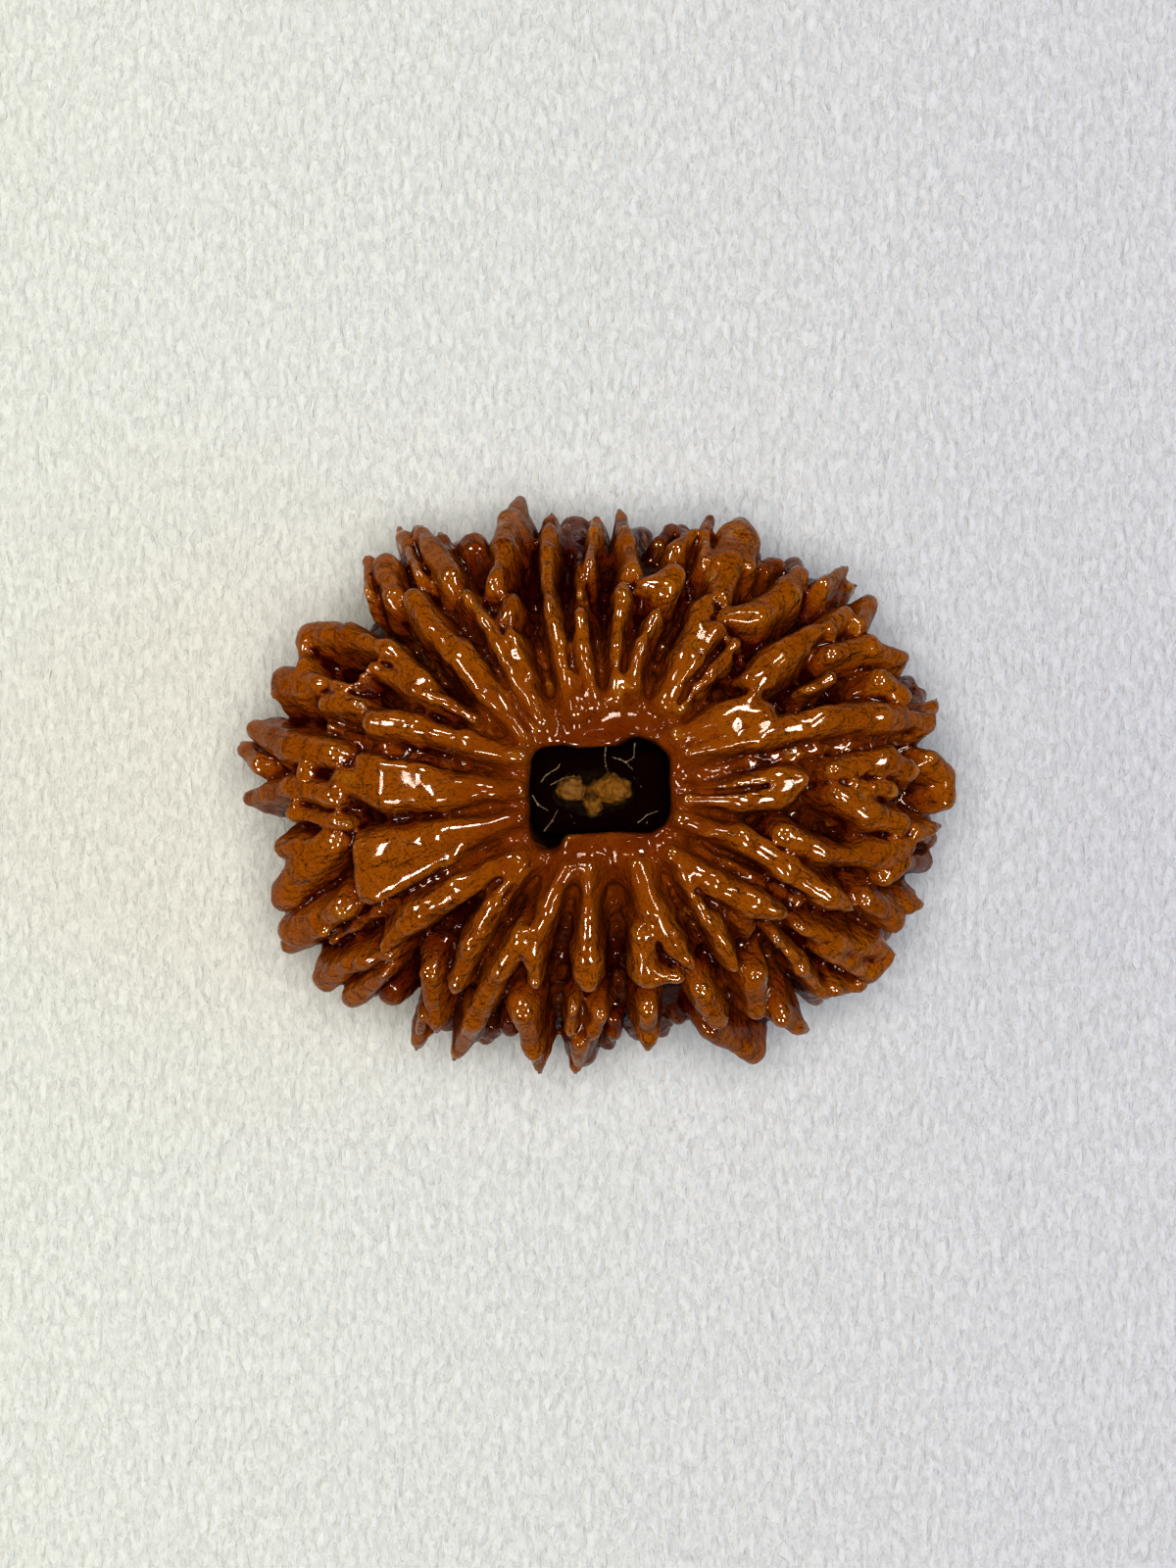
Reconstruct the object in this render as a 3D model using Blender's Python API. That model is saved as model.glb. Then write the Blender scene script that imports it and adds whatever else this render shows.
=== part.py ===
"""A many-faced rudraksha bead: the ridged stone of a wild olive-like fruit, with a socket at its crown.

It stands on its lower pole. +Z runs up through the socket, +X along the oval's long side.
Sizes in the tables are millimetres from the middle of the socket and the widest level; the
objects are in metres, centred on the outline and standing on z = 0.
"""

import math
import random
from itertools import product

import bpy
import numpy as np

MM = 0.001

# Driving dimensions of the stone over its crests, its flat foot, and the middle of its outline
LENGTH = 36.9
BREADTH = 29.5
HALF_HEIGHT = 12.0
FOOT_LEVEL = -11.55
FOOT_SNAP = 0.14
MIDDLE = (-0.15, 0.148)
BOXINESS = 2.25

# The body under the ridges, which the clefts go down to
BODY_HALF = np.array((15.7, 12.2, 10.0))

# How a ridge is drawn out of the body: its crest is narrower than the ridge by this inset, or this
# share of it, and rises no more than this; its flanks spread to this depth; its walls run inward
CREST_SHARE = 0.6
CREST_INSET = 0.22
CREST_RISE = 0.5
FLANK_SPREAD = 0.28
FLANK_DEPTH = 1.7
WALL_STRETCH = 4.0

# Ends narrower than this run out to a point, so many half widths on and so much narrower
POINTED_UNDER = 0.66
POINT_REACH = 0.9
POINT_WIDTH = 0.4

FILLET = 0.35
CELL = 0.3

# Crown ridges as they stand round the socket, each from root to tip: (x, y, half width)
CROWN_RIDGES = (
    # towards +Y
    ((-1.2, 4.0, 0.6), (-1.85, 6.5, 0.65), (-2.55, 9.25, 0.55), (-2.75, 12.0, 0.5), (-2.6, 12.85, 0.42)),
    ((-0.25, 4.25, 0.6), (-0.8, 6.75, 0.6), (-1.0, 8.75, 0.45)),
    ((-0.5, 11.25, 0.55), (-0.3, 13.0, 0.4), (-0.2, 13.45, 0.25)),
    ((0.75, 4.5, 0.6), (0.85, 7.0, 0.55), (1.1, 9.75, 0.6)),
    ((1.6, 10.9, 0.75), (1.35, 12.5, 0.6), (1.25, 13.0, 0.4)),
    ((1.5, 5.25, 0.7), (2.0, 7.15, 0.5), (2.75, 8.65, 0.42)),
    ((2.3, 10.3, 0.6), (3.2, 10.2, 1.05), (3.7, 10.7, 0.95)),
    ((3.8, 12.1, 0.7), (4.55, 12.85, 0.4)),
    ((5.2, 11.5, 0.45), (5.4, 13.15, 0.35)),
    ((6.1, 9.65, 0.75), (6.4, 11.25, 1.0), (7.0, 12.6, 1.2), (7.15, 13.25, 0.9)),
    ((7.5, 11.2, 0.5), (7.65, 12.25, 0.5)),
    ((3.4, 4.35, 0.8), (4.4, 6.65, 0.95), (5.2, 9.05, 0.65)),
    ((4.8, 6.2, 0.7), (5.8, 7.9, 0.75)),
    ((4.0, 4.15, 0.7), (5.3, 5.75, 0.8), (6.6, 7.05, 0.75)),
    # towards +X and +Y
    ((6.3, 8.65, 0.6), (7.9, 8.85, 0.9), (9.4, 9.85, 0.95), (10.0, 10.75, 0.75)),
    ((11.3, 10.25, 0.6), (12.4, 11.1, 0.4)),
    ((7.65, 5.25, 0.9), (9.25, 6.65, 1.0), (10.65, 7.85, 0.7)),
    ((11.5, 8.0, 0.7), (12.25, 8.85, 0.7)),
    ((13.0, 8.25, 0.65), (13.6, 9.35, 0.75)),
    ((11.65, 6.85, 0.7), (13.65, 7.15, 0.75), (15.25, 6.65, 0.7)),
    ((14.05, 5.5, 0.8), (15.15, 4.65, 0.8)),
    ((10.5, 4.95, 0.5), (11.65, 5.5, 0.45)),
    ((4.0, 2.65, 0.7), (6.15, 3.5, 1.1), (8.15, 3.9, 0.9)),
    ((6.5, 3.9, 0.8), (7.5, 4.55, 0.6)),
    ((4.4, 1.85, 0.55), (7.9, 2.65, 0.8), (11.15, 3.6, 1.0), (14.15, 3.65, 0.95), (16.5, 3.25, 0.8)),
    ((16.5, 3.6, 0.5), (16.8, 4.15, 0.5)),
    # towards +X
    ((4.4, -0.5, 0.5), (6.9, -0.25, 1.05), (8.9, 0.1, 1.2), (10.0, 0.45, 0.75)),
    ((11.8, 1.0, 0.8), (14.4, 1.4, 0.95), (15.8, 0.75, 0.8)),
    ((12.8, 0.2, 0.6), (14.6, -0.1, 0.75)),
    ((11.9, -0.15, 0.7), (13.4, -1.25, 1.0), (15.0, -1.65, 0.9)),
    ((11.8, -3.35, 0.7), (13.9, -3.25, 0.9), (15.4, -2.9, 0.7)),
    ((16.65, 1.5, 0.8), (17.4, 0.75, 0.85), (17.45, -0.55, 0.75)),
    ((15.9, -2.15, 0.8), (16.65, -2.0, 0.6)),
    ((4.15, -1.55, 0.6), (6.9, -2.4, 0.8), (9.4, -4.05, 0.9), (11.5, -5.45, 0.85), (12.4, -5.85, 0.6)),
    ((9.3, -2.25, 0.8), (11.15, -3.35, 0.8)),
    ((14.4, -4.55, 0.6), (15.3, -3.9, 0.5)),
    # towards +X and -Y
    ((3.6, -3.25, 0.6), (5.65, -4.65, 0.85), (7.65, -5.75, 0.95), (9.0, -6.25, 0.6)),
    ((9.9, -6.85, 0.6), (11.9, -7.75, 0.8), (14.15, -8.15, 0.7)),
    ((13.4, -5.65, 0.8), (14.8, -6.5, 0.95)),
    ((15.65, -6.0, 0.6), (16.15, -5.85, 0.4)),
    ((4.15, -4.25, 0.5), (5.5, -6.5, 0.65), (6.7, -8.75, 0.6)),
    ((8.8, -7.5, 0.6), (10.15, -9.0, 0.6), (11.15, -10.25, 0.4)),
    ((11.4, -8.15, 0.7), (13.65, -9.15, 0.9), (14.4, -8.65, 0.6)),
    ((11.8, -10.15, 0.5), (13.15, -10.0, 0.4)),
    ((5.0, -10.0, 0.75), (5.9, -11.6, 0.85)),
    ((7.8, -9.25, 0.95), (7.9, -11.25, 0.8)),
    ((9.15, -11.5, 0.8), (10.0, -12.0, 0.5)),
    # towards -Y
    ((1.9, -3.85, 0.7), (2.65, -6.0, 0.8), (3.8, -7.85, 0.8), (4.4, -8.6, 0.6)),
    ((2.15, -7.25, 0.8), (2.3, -9.25, 0.85), (3.9, -9.5, 0.4)),
    ((2.4, -11.0, 0.8), (2.4, -12.5, 0.6)),
    ((-0.6, -4.0, 0.5), (-0.6, -6.25, 0.6), (-0.7, -8.5, 0.9), (-0.6, -9.65, 0.85)),
    ((-1.35, -11.0, 0.5), (-1.45, -12.15, 0.4)),
    ((0.0, -11.4, 0.75), (-0.3, -12.2, 0.6)),
    ((-1.0, -12.75, 0.6), (-1.2, -14.15, 0.45)),
    ((-1.7, -4.1, 0.6), (-2.6, -6.0, 0.7), (-3.35, -8.0, 0.75), (-3.25, -9.75, 0.4)),
    ((-3.85, -11.25, 0.9), (-3.35, -13.15, 0.6), (-3.15, -14.1, 0.35)),
    ((-4.0, -7.25, 0.75), (-5.0, -9.0, 0.75), (-6.35, -11.75, 0.75), (-7.2, -13.35, 0.6)),
    # towards -X and -Y
    ((-3.85, -3.85, 0.7), (-5.25, -5.5, 0.8), (-6.35, -7.75, 0.7), (-7.2, -9.75, 0.55)),
    ((-8.6, -9.25, 0.7), (-8.3, -11.65, 0.6)),
    ((-9.0, -11.5, 0.3), (-9.25, -12.75, 0.45)),
    ((-4.35, -3.5, 0.7), (-7.1, -4.9, 0.9), (-9.1, -6.15, 0.95), (-10.5, -7.5, 0.65)),
    ((-10.6, -8.35, 0.6), (-12.6, -8.85, 0.7), (-13.95, -9.65, 1.0)),
    ((-10.85, -9.35, 0.4), (-12.5, -10.5, 0.8)),
    # towards -X
    ((-4.1, -1.45, 0.5), (-8.1, -2.6, 1.15), (-11.2, -3.6, 1.6)),
    ((-7.6, -3.15, 1.0), (-11.35, -5.0, 1.2)),
    ((-12.0, -2.8, 0.55), (-11.9, -4.2, 0.65), (-11.3, -5.3, 0.65)),
    ((-4.1, -0.05, 0.55), (-8.1, 0.0, 1.2), (-10.85, 0.15, 1.35), (-12.9, 0.4, 0.9)),
    ((-8.6, 0.75, 0.9), (-11.85, 1.35, 0.7)),
    ((-13.35, 1.85, 0.9), (-15.6, 2.15, 1.0), (-17.5, 3.0, 0.8)),
    ((-17.2, 1.2, 0.7), (-18.0, 2.0, 0.55)),
    ((-13.35, -0.35, 0.9), (-15.6, 0.1, 0.7), (-17.7, -0.5, 0.7)),
    ((-14.85, 1.0, 0.5), (-15.5, -1.15, 0.5), (-13.35, -1.65, 0.6)),
    ((-13.6, -2.75, 1.0), (-15.0, -4.0, 1.1), (-15.9, -5.4, 1.1)),
    ((-13.1, -6.0, 0.8), (-15.5, -7.2, 1.1)),
    ((-13.9, -7.1, 0.6), (-15.7, -7.9, 0.7)),
    ((-14.0, -3.0, 0.8), (-16.0, -3.0, 0.8)),
    # towards -X and +Y
    ((-8.6, 5.25, 0.6), (-10.6, 6.9, 0.75), (-12.6, 7.85, 0.7), (-14.7, 7.7, 0.9)),
    ((-14.1, 5.25, 0.8), (-15.95, 5.3, 1.1)),
    ((-15.0, 7.3, 0.5), (-14.9, 6.3, 0.5), (-14.2, 5.4, 0.5), (-12.9, 5.1, 0.5), (-12.0, 5.7, 0.4)),
    ((-12.1, 4.15, 0.7), (-13.7, 4.35, 0.8)),
    ((-6.35, 3.5, 0.6), (-9.1, 4.85, 0.7), (-11.35, 6.15, 0.45)),
    ((-4.1, 1.65, 0.6), (-6.6, 2.4, 0.85), (-9.1, 3.15, 0.85), (-11.35, 3.4, 0.85)),
    ((-3.85, 2.65, 0.6), (-5.45, 4.65, 0.85), (-7.0, 6.65, 1.05), (-7.85, 7.65, 0.8)),
    ((-8.35, 8.0, 0.9), (-9.35, 9.5, 0.8)),
    ((-10.5, 9.75, 0.8), (-10.8, 11.25, 0.95)),
    ((-11.75, 10.0, 0.4), (-11.7, 11.5, 0.5)),
    ((-3.0, 3.5, 0.6), (-4.35, 5.75, 0.75), (-5.75, 8.25, 0.7), (-6.6, 9.65, 0.5)),
    ((-3.6, 5.75, 0.6), (-4.35, 7.5, 0.6)),
    ((-5.35, 10.4, 0.6), (-4.8, 12.25, 0.85), (-4.5, 13.6, 0.75), (-4.2, 14.25, 0.55)),
    ((-7.5, 10.65, 0.85), (-8.5, 12.15, 0.85), (-9.0, 12.85, 0.6)),
    ((-9.2, 11.0, 0.4), (-10.0, 12.75, 0.55)),
)

# Thorns that stand lower than their neighbours: how much lower, then as above
SUNK_THORNS = (
    (0.8, ((-1.0, 9.85, 0.5), (-0.95, 11.0, 0.5))),
    (0.6, ((-4.75, 8.5, 0.65), (-4.35, 9.35, 0.75))),
    (0.8, ((6.9, -6.25, 0.7), (8.15, -8.0, 0.8))),
    (1.5, ((5.6, -12.1, 0.95), (7.8, -13.25, 0.85))),
    (3.0, ((-6.35, 12.0, 1.0), (-6.4, 12.2, 1.0))),
    (3.0, ((-7.8, 12.0, 0.4), (-8.0, 12.65, 0.4))),
    (2.5, ((-2.7, 12.5, 0.6), (-2.5, 13.5, 0.5))),
    (4.0, ((-1.7, 12.0, 0.6), (-1.7, 12.85, 0.6))),
    (2.5, ((1.2, 12.9, 0.5), (1.1, 13.75, 0.4))),
    (4.0, ((3.0, 12.25, 0.7), (3.6, 13.1, 0.5))),
    (2.0, ((5.5, 12.9, 0.35), (5.6, 13.75, 0.3))),
    (3.5, ((8.2, 11.0, 0.9), (8.9, 11.3, 0.8))),
    (2.0, ((11.8, 10.0, 0.6), (12.5, 10.2, 0.5))),
    (3.5, ((-10.6, -9.8, 1.0), (-10.6, -10.25, 1.0))),
    (3.5, ((-4.6, -11.5, 0.7), (-4.6, -12.1, 0.7))),
    (3.0, ((0.65, -11.6, 0.6), (0.65, -12.2, 0.6))),
    (5.0, ((1.15, -10.8, 0.5), (1.15, -11.4, 0.5))),
    (4.5, ((3.9, -11.0, 0.7), (3.9, -11.6, 0.7))),
)

# Clefts between the ridges, cut this many times as deep as they are half wide: as above
CLEFT_STRETCH = 5.5
CLEFTS = (
    # above the socket
    ((-2.65, 5.3, 0.2), (-3.1, 7.5, 0.35), (-3.3, 9.2, 0.4), (-3.75, 10.9, 0.5), (-3.6, 12.2, 0.5)),
    ((-1.45, 6.2, 0.15), (-1.65, 8.7, 0.25), (-1.75, 12.0, 0.35)),
    ((0.1, 5.4, 0.25), (0.05, 7.5, 0.4), (0.15, 9.6, 0.45), (0.45, 12.4, 0.4)),
    ((1.25, 6.2, 0.15), (1.5, 8.2, 0.25), (1.9, 9.3, 0.25)),
    ((2.35, 5.5, 0.2), (3.0, 7.0, 0.4), (3.9, 9.0, 0.35), (4.8, 11.0, 0.4)),
    ((-4.3, 4.7, 0.15), (-5.6, 6.8, 0.3), (-6.8, 8.7, 0.4)),
    ((-6.3, 4.3, 0.2), (-8.0, 5.9, 0.45), (-9.1, 7.1, 0.5)),
    ((-7.3, 3.35, 0.15), (-9.5, 4.3, 0.25), (-11.2, 4.9, 0.3)),
    # right of it
    ((5.0, 4.55, 0.15), (6.3, 5.35, 0.35), (7.2, 5.15, 0.3)),
    ((8.7, 4.85, 0.3), (10.0, 4.4, 0.4), (12.0, 4.7, 0.3)),
    ((7.1, 6.9, 0.3), (8.0, 7.8, 0.3)),
    ((4.4, 5.35, 0.12), (5.1, 6.0, 0.2), (6.25, 7.55, 0.25)),
    ((16.0, 2.0, 0.2), (16.2, 0.9, 0.25), (16.1, -0.4, 0.3)),
    ((9.9, 8.5, 0.25), (11.0, 9.4, 0.35)),
    ((10.9, 1.4, 0.2), (10.9, 0.2, 0.25), (11.0, -1.3, 0.3)),
    # below it
    ((-1.35, -5.0, 0.25), (-1.85, -7.5, 0.42), (-2.1, -10.4, 0.5)),
    ((0.6, -5.0, 0.3), (0.85, -8.0, 0.5), (0.95, -11.0, 0.45)),
    ((2.9, -4.9, 0.15), (4.3, -6.7, 0.3), (5.3, -8.8, 0.35)),
    ((4.9, -5.2, 0.15), (6.0, -6.4, 0.2)),
    ((8.2, -7.9, 0.3), (9.3, -9.3, 0.45)),
    ((-3.5, -5.0, 0.2), (-4.55, -6.9, 0.3), (-5.7, -8.7, 0.3)),
    ((-5.1, -4.7, 0.15), (-6.9, -6.3, 0.4), (-8.4, -7.8, 0.55)),
    # down the rough seams, right, lower left, upper left and lower right
    ((4.4, 0.6, 0.2), (7.4, 1.35, 0.35), (10.9, 1.95, 0.35), (16.0, 2.75, 0.3)),
    ((-3.85, -2.5, 0.2), (-8.1, -4.45, 0.35), (-11.1, -6.15, 0.35), (-14.1, -8.0, 0.35)),
    ((-5.4, 0.8, 0.2), (-10.6, 1.9, 0.35), (-14.1, 3.35, 0.35)),
    ((4.4, -2.65, 0.25), (7.4, -4.25, 0.4), (10.4, -5.9, 0.35)),
)

# Pits, cut this many times as deep as they are half wide: as above
PIT_STRETCH = 3.2
PITS = (
    ((-13.7, 6.45, 0.7), (-12.8, 6.3, 0.85)),
    ((-6.5, 10.7, 0.7), (-6.2, 11.5, 0.75)),
    ((-10.9, 8.3, 0.7), (-10.7, 8.5, 0.7)),
    ((11.4, -1.1, 0.5), (12.5, -2.2, 0.7)),
    ((12.3, 5.85, 0.55), (13.3, 6.0, 0.6)),
    ((8.0, -8.6, 0.5), (7.5, -8.6, 0.5)),
)

# Rough seams down the middle of the widest clefts, which lie this far under the crests
SEAM_DEPTH = 1.2
CLEFT_SEAMS = (
    ((5.4, 0.85, 0.25), (7.4, 1.35, 0.38), (10.9, 1.95, 0.4), (13.4, 2.4, 0.4), (15.6, 2.7, 0.35)),
    ((-4.6, -2.85, 0.25), (-8.1, -4.45, 0.36), (-11.1, -6.15, 0.38), (-13.6, -7.75, 0.35)),
    ((-6.0, 0.9, 0.25), (-10.6, 1.9, 0.36), (-13.6, 3.15, 0.36)),
    ((5.0, -3.0, 0.25), (7.4, -4.25, 0.4), (10.0, -5.7, 0.36)),
)

# The collar that the ridges spring from, and the socket through it
COLLAR_HALF = np.array((4.9, 4.5, 1.6))
COLLAR_TOP = 11.5
SOCKET_MIDDLE = (-0.05, -0.05)
SOCKET_HALF = (3.5, 2.2)
SOCKET_CORNER = 1.0
SOCKET_FLOOR = 4.6
SOCKET_NOTCHES = (
    ((-2.8, -2.75, 0.7), (-2.3, -1.4, 0.9)),
    ((1.9, 1.95, 1.0), (2.1, 1.0, 1.0)),
)

# The side hidden from above repeats the crown's ridges turned over, drawn in and shifted by chance,
# and carries each one round the widest line by way of a knob
SEED = 16
UNDER_SHRINK = 0.92
UNDER_SHIFT = 0.3
SIDE_TIP_BELOW = 8.0
SIDE_SHIFT = 0.9
LOWER_COLLAR_HALF = np.array((5.2, 4.8, 1.6))
LOWER_COLLAR_END = -12.1
LOWER_SOCKET_RADIUS = 1.5
LOWER_SOCKET_DEPTH = 2.6

# The pith left in the socket: (x, y, z, radii) of its lumps
PITH_LUMPS = (
    ((-1.4, -0.05, 5.2), (0.95, 0.75, 1.0)),
    ((0.7, 0.0, 5.25), (1.05, 0.75, 1.0)),
    ((-0.3, -1.0, 5.0), (0.85, 0.65, 0.8)),
    ((-0.3, -0.2, 4.9), (2.3, 1.4, 0.7)),
)
PITH_FLOOR = 4.9
PITH_CELL = 0.16

STONE_TRIANGLES = 11500
PITH_TRIANGLES = 700


def crest_height(x, y):
    """How far above the middle the crests stand over this point of the plan."""
    share = abs(2 * x / LENGTH) ** BOXINESS + abs(2 * y / BREADTH) ** BOXINESS
    return HALF_HEIGHT * max(1 - share, 0.0) ** (1 / BOXINESS)


def pointed(limb):
    """The limb with its end drawn out to a point, unless it is a stout lobe."""
    (x0, y0, _), (x1, y1, width) = limb[-2:]
    if width > POINTED_UNDER:
        return limb
    reach = POINT_REACH * width / math.hypot(x1 - x0, y1 - y0)
    return (*limb, (x1 + reach * (x1 - x0), y1 + reach * (y1 - y0), POINT_WIDTH * width))


def crest_half(width):
    """Half width of a ridge at its crest, which is less than the ridge's own."""
    return np.maximum(width - np.float32(CREST_INSET), width * np.float32(CREST_SHARE))


def raised(limb, drop=0.0):
    """A limb of the plan as points on the crests, each with its half width."""
    points = []
    for x, y, width in limb:
        z = crest_height(x, y) - min(crest_half(width), CREST_RISE) - drop
        points.append((np.array((x, y, z)), width))
    return points


def on_side(x, y, z, reach):
    """The point out beyond (x, y) at height z, at this share of the crests' distance."""
    share = abs(2 * x / LENGTH) ** BOXINESS + abs(2 * y / BREADTH) ** BOXINESS
    room = 1 - abs(z / HALF_HEIGHT) ** BOXINESS
    scale = reach * (room / share) ** (1 / BOXINESS)
    return np.array((x * scale, y * scale, z))


def turned_over(limb, draw):
    """The limb's mirror image under the bead."""
    under = []
    for x, y, width in limb:
        x = UNDER_SHRINK * x + draw.uniform(-UNDER_SHIFT, UNDER_SHIFT)
        y = UNDER_SHRINK * y + draw.uniform(-UNDER_SHIFT, UNDER_SHIFT)
        width *= draw.uniform(0.9, 1.15)
        z = min(crest_half(width), CREST_RISE) - crest_height(x, y)
        under.append((np.array((x, y, z)), width))
    return under


def round_side(tip, under_tip, draw):
    """A rib with a knob on it, down the side from a crown tip to the tip below."""
    (top, top_width), (bottom, bottom_width) = tip, under_tip
    x, y, z = (top + bottom) / 2
    x += draw.uniform(-SIDE_SHIFT, SIDE_SHIFT)
    y += draw.uniform(-SIDE_SHIFT, SIDE_SHIFT)
    knob = on_side(x, y, z + draw.uniform(-0.8, 0.8), draw.uniform(0.85, 0.92))
    return [(0.95 * top, 0.8 * top_width), (knob, draw.uniform(0.5, 0.8)), (0.97 * bottom, bottom_width)]


def hidden_limbs():
    """Ridges of the underside, and the ribs that join them to the crown's."""
    draw = random.Random(SEED)
    limbs = []
    for drop, limb in [*((0.0, limb) for limb in CROWN_RIDGES), *SUNK_THORNS]:
        under = turned_over(pointed(limb), draw)
        limbs.append(under)
        tip = raised(limb, drop)[-1]
        if tip[0][2] < SIDE_TIP_BELOW:
            limbs.append(round_side(tip, under[-1], draw))
    return limbs


def grid_round(low, high, cell):
    """Axes of a box of sample points, with a margin of empty cells."""
    return [np.arange(a - 3 * cell, b + 3.5 * cell, cell, np.float32) for a, b in zip(low, high)]


def window(axes, low, high):
    """Slices of the grid that a box covers, and their coordinates ready to broadcast."""
    spans = [slice(*np.searchsorted(axis, (a, b))) for axis, a, b in zip(axes, low, high)]
    xyz = np.ix_(*(axis[span] for axis, span in zip(axes, spans)))
    return tuple(spans), xyz


def melt(first, second, fillet):
    """Union of two distance fields with a rounded inner corner."""
    share = np.clip(0.5 + 0.5 * (first - second) / fillet, 0, 1)
    return first + (second - first) * share - fillet * share * (1 - share)


def carve(stone, hole, fillet):
    """A hole taken out of a distance field, its mouth rounded over."""
    return -melt(-stone, hole, fillet)


def ellipsoid(xyz, centre, half):
    """Distance to an ellipsoid, near enough at its surface."""
    parts = [(v - np.float32(c)) / np.float32(h) for v, c, h in zip(xyz, centre, half)]
    reach = np.sqrt(sum(p * p for p in parts))
    slope = np.sqrt(sum((p / np.float32(h)) ** 2 for p, h in zip(parts, half)))
    return reach * (reach - 1) / np.maximum(slope, np.float32(1e-6))


def limb_distance(xyz, start, end, stretch, crested=False):
    """Distance to a tapering limb with walls to the body, and a narrower crest if it has one."""
    (p, p_width), (q, q_width) = start, end
    along = q - p
    length = max(float(along @ along), 1e-9)
    outward = (p + q) / BODY_HALF**2
    outward /= np.linalg.norm(outward)
    offset = [v - np.float32(c) for v, c in zip(xyz, p)]
    share = sum(o * np.float32(a / length) for o, a in zip(offset, along))
    share = np.clip(share, 0, 1)
    offset = [o - np.float32(a) * share for o, a in zip(offset, along)]
    width = p_width + share * np.float32(q_width - p_width)
    lift = sum(o * np.float32(n) for o, n in zip(offset, outward))
    depth = np.maximum(-lift, 0)
    proud = np.maximum(lift, 0)
    across = sum(o * o for o in offset) - lift * lift
    if crested:
        crest = crest_half(width)
        flatter = np.float32(outward[2] ** 2) * np.maximum(crest / np.float32(CREST_RISE) - 1, 0)
        proud = proud * (1 + flatter)
        spread = width + np.float32(FLANK_SPREAD) - crest
        width = crest + spread * np.minimum(depth / np.float32(FLANK_DEPTH), 1)
    square = across + proud * proud + depth * depth / np.float32(stretch**2)
    return np.sqrt(np.maximum(square, 0)) - width


def add_limbs(stone, axes, limbs):
    for limb in limbs:
        for start, end in zip(limb, limb[1:]):
            width = FLANK_SPREAD + max(start[1], end[1])
            inward = -(start[0] + end[0]) / BODY_HALF**2
            inward *= WALL_STRETCH * width / np.linalg.norm(inward)
            marks = np.array((start[0], end[0], start[0] + inward, end[0] + inward))
            low, high = marks.min(axis=0) - width - FILLET, marks.max(axis=0) + width + FILLET
            spans, xyz = window(axes, low, high)
            limb_field = limb_distance(xyz, start, end, WALL_STRETCH, crested=True)
            stone[spans] = melt(stone[spans], limb_field, np.float32(FILLET))


def cut_valleys(stone, axes, valleys, stretch):
    """Valleys cut down from the crests, this many times as deep as they are half wide."""
    for valley in valleys:
        points = [(np.array((x, y, crest_height(x, y))), width) for x, y, width in valley]
        for start, end in zip(points, points[1:]):
            low, high = np.minimum(start[0], end[0]) - 2, np.maximum(start[0], end[0]) + 2
            spans, xyz = window(axes, low - (0, 0, 2), high)
            cut = limb_distance(xyz, start, end, stretch)
            stone[spans] = carve(stone[spans], cut, np.float32(FILLET))


def rounded_slot(xyz, middle, half, corner, floor):
    """An upright shaft with rounded corners that runs down to a floor."""
    across = [np.abs(v - m) - (h - corner) for v, m, h in zip(xyz, middle, half)]
    outside = np.sqrt(sum(np.maximum(a, 0) ** 2 for a in across))
    wall = outside + np.minimum(np.maximum(*across), 0) - corner
    return np.maximum(wall, floor - xyz[2])


def stone_field(cell):
    """Distance field of the whole stone, and the grid that it is sampled on."""
    half = np.array((LENGTH / 2, BREADTH / 2, HALF_HEIGHT)) + 0.5
    axes = grid_round(-half, half, cell)
    xyz = np.ix_(*axes)
    stone = ellipsoid(xyz, (0, 0, 0), BODY_HALF)
    add_limbs(stone, axes, hidden_limbs())
    add_limbs(stone, axes, [raised(pointed(limb)) for limb in CROWN_RIDGES])
    add_limbs(stone, axes, [raised(pointed(limb), drop) for drop, limb in SUNK_THORNS])
    cut_valleys(stone, axes, CLEFTS, CLEFT_STRETCH)
    cut_valleys(stone, axes, PITS, PIT_STRETCH)
    add_limbs(stone, axes, [raised(limb, SEAM_DEPTH) for limb in CLEFT_SEAMS])
    collar = (0, 0, COLLAR_TOP - COLLAR_HALF[2])
    stone = melt(stone, ellipsoid(xyz, collar, COLLAR_HALF), 1.2)
    lower_collar = (0, 0, LOWER_COLLAR_END + LOWER_COLLAR_HALF[2])
    stone = melt(stone, ellipsoid(xyz, lower_collar, LOWER_COLLAR_HALF), 1.0)
    shaft = rounded_slot(xyz, SOCKET_MIDDLE, SOCKET_HALF, SOCKET_CORNER, SOCKET_FLOOR)
    stone = carve(stone, shaft, 0.4)
    for (x0, y0, r0), (x1, y1, r1) in SOCKET_NOTCHES:
        ends = (np.array((x0, y0, 12.5)), r0), (np.array((x1, y1, 7.0)), r1)
        stone = carve(stone, limb_distance(xyz, *ends, 1.0), 0.4)
    lower = (0, 0, FOOT_LEVEL)
    lower_socket = (LOWER_SOCKET_RADIUS, LOWER_SOCKET_RADIUS, LOWER_SOCKET_DEPTH)
    stone = carve(stone, ellipsoid(xyz, lower, lower_socket), 0.3)
    return np.maximum(stone, FOOT_LEVEL - xyz[2]), axes


def pith_field(cell):
    low, high = (-3.6, -2.6, PITH_FLOOR), (3.6, 2.0, 6.8)
    axes = grid_round(low, high, cell)
    xyz = np.ix_(*axes)
    lumps = [ellipsoid(xyz, centre, half) for centre, half in PITH_LUMPS]
    pith = lumps[0]
    for lump in lumps[1:]:
        pith = melt(pith, lump, 0.3)
    return np.maximum(pith, PITH_FLOOR - xyz[2]), axes


def corner_of_cells(shape, corner):
    """Slices that pick this corner of every cell; None takes the axis whole."""
    return tuple(slice(None) if c is None else slice(c, n - 1 + c) for c, n in zip(corner, shape))


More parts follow.
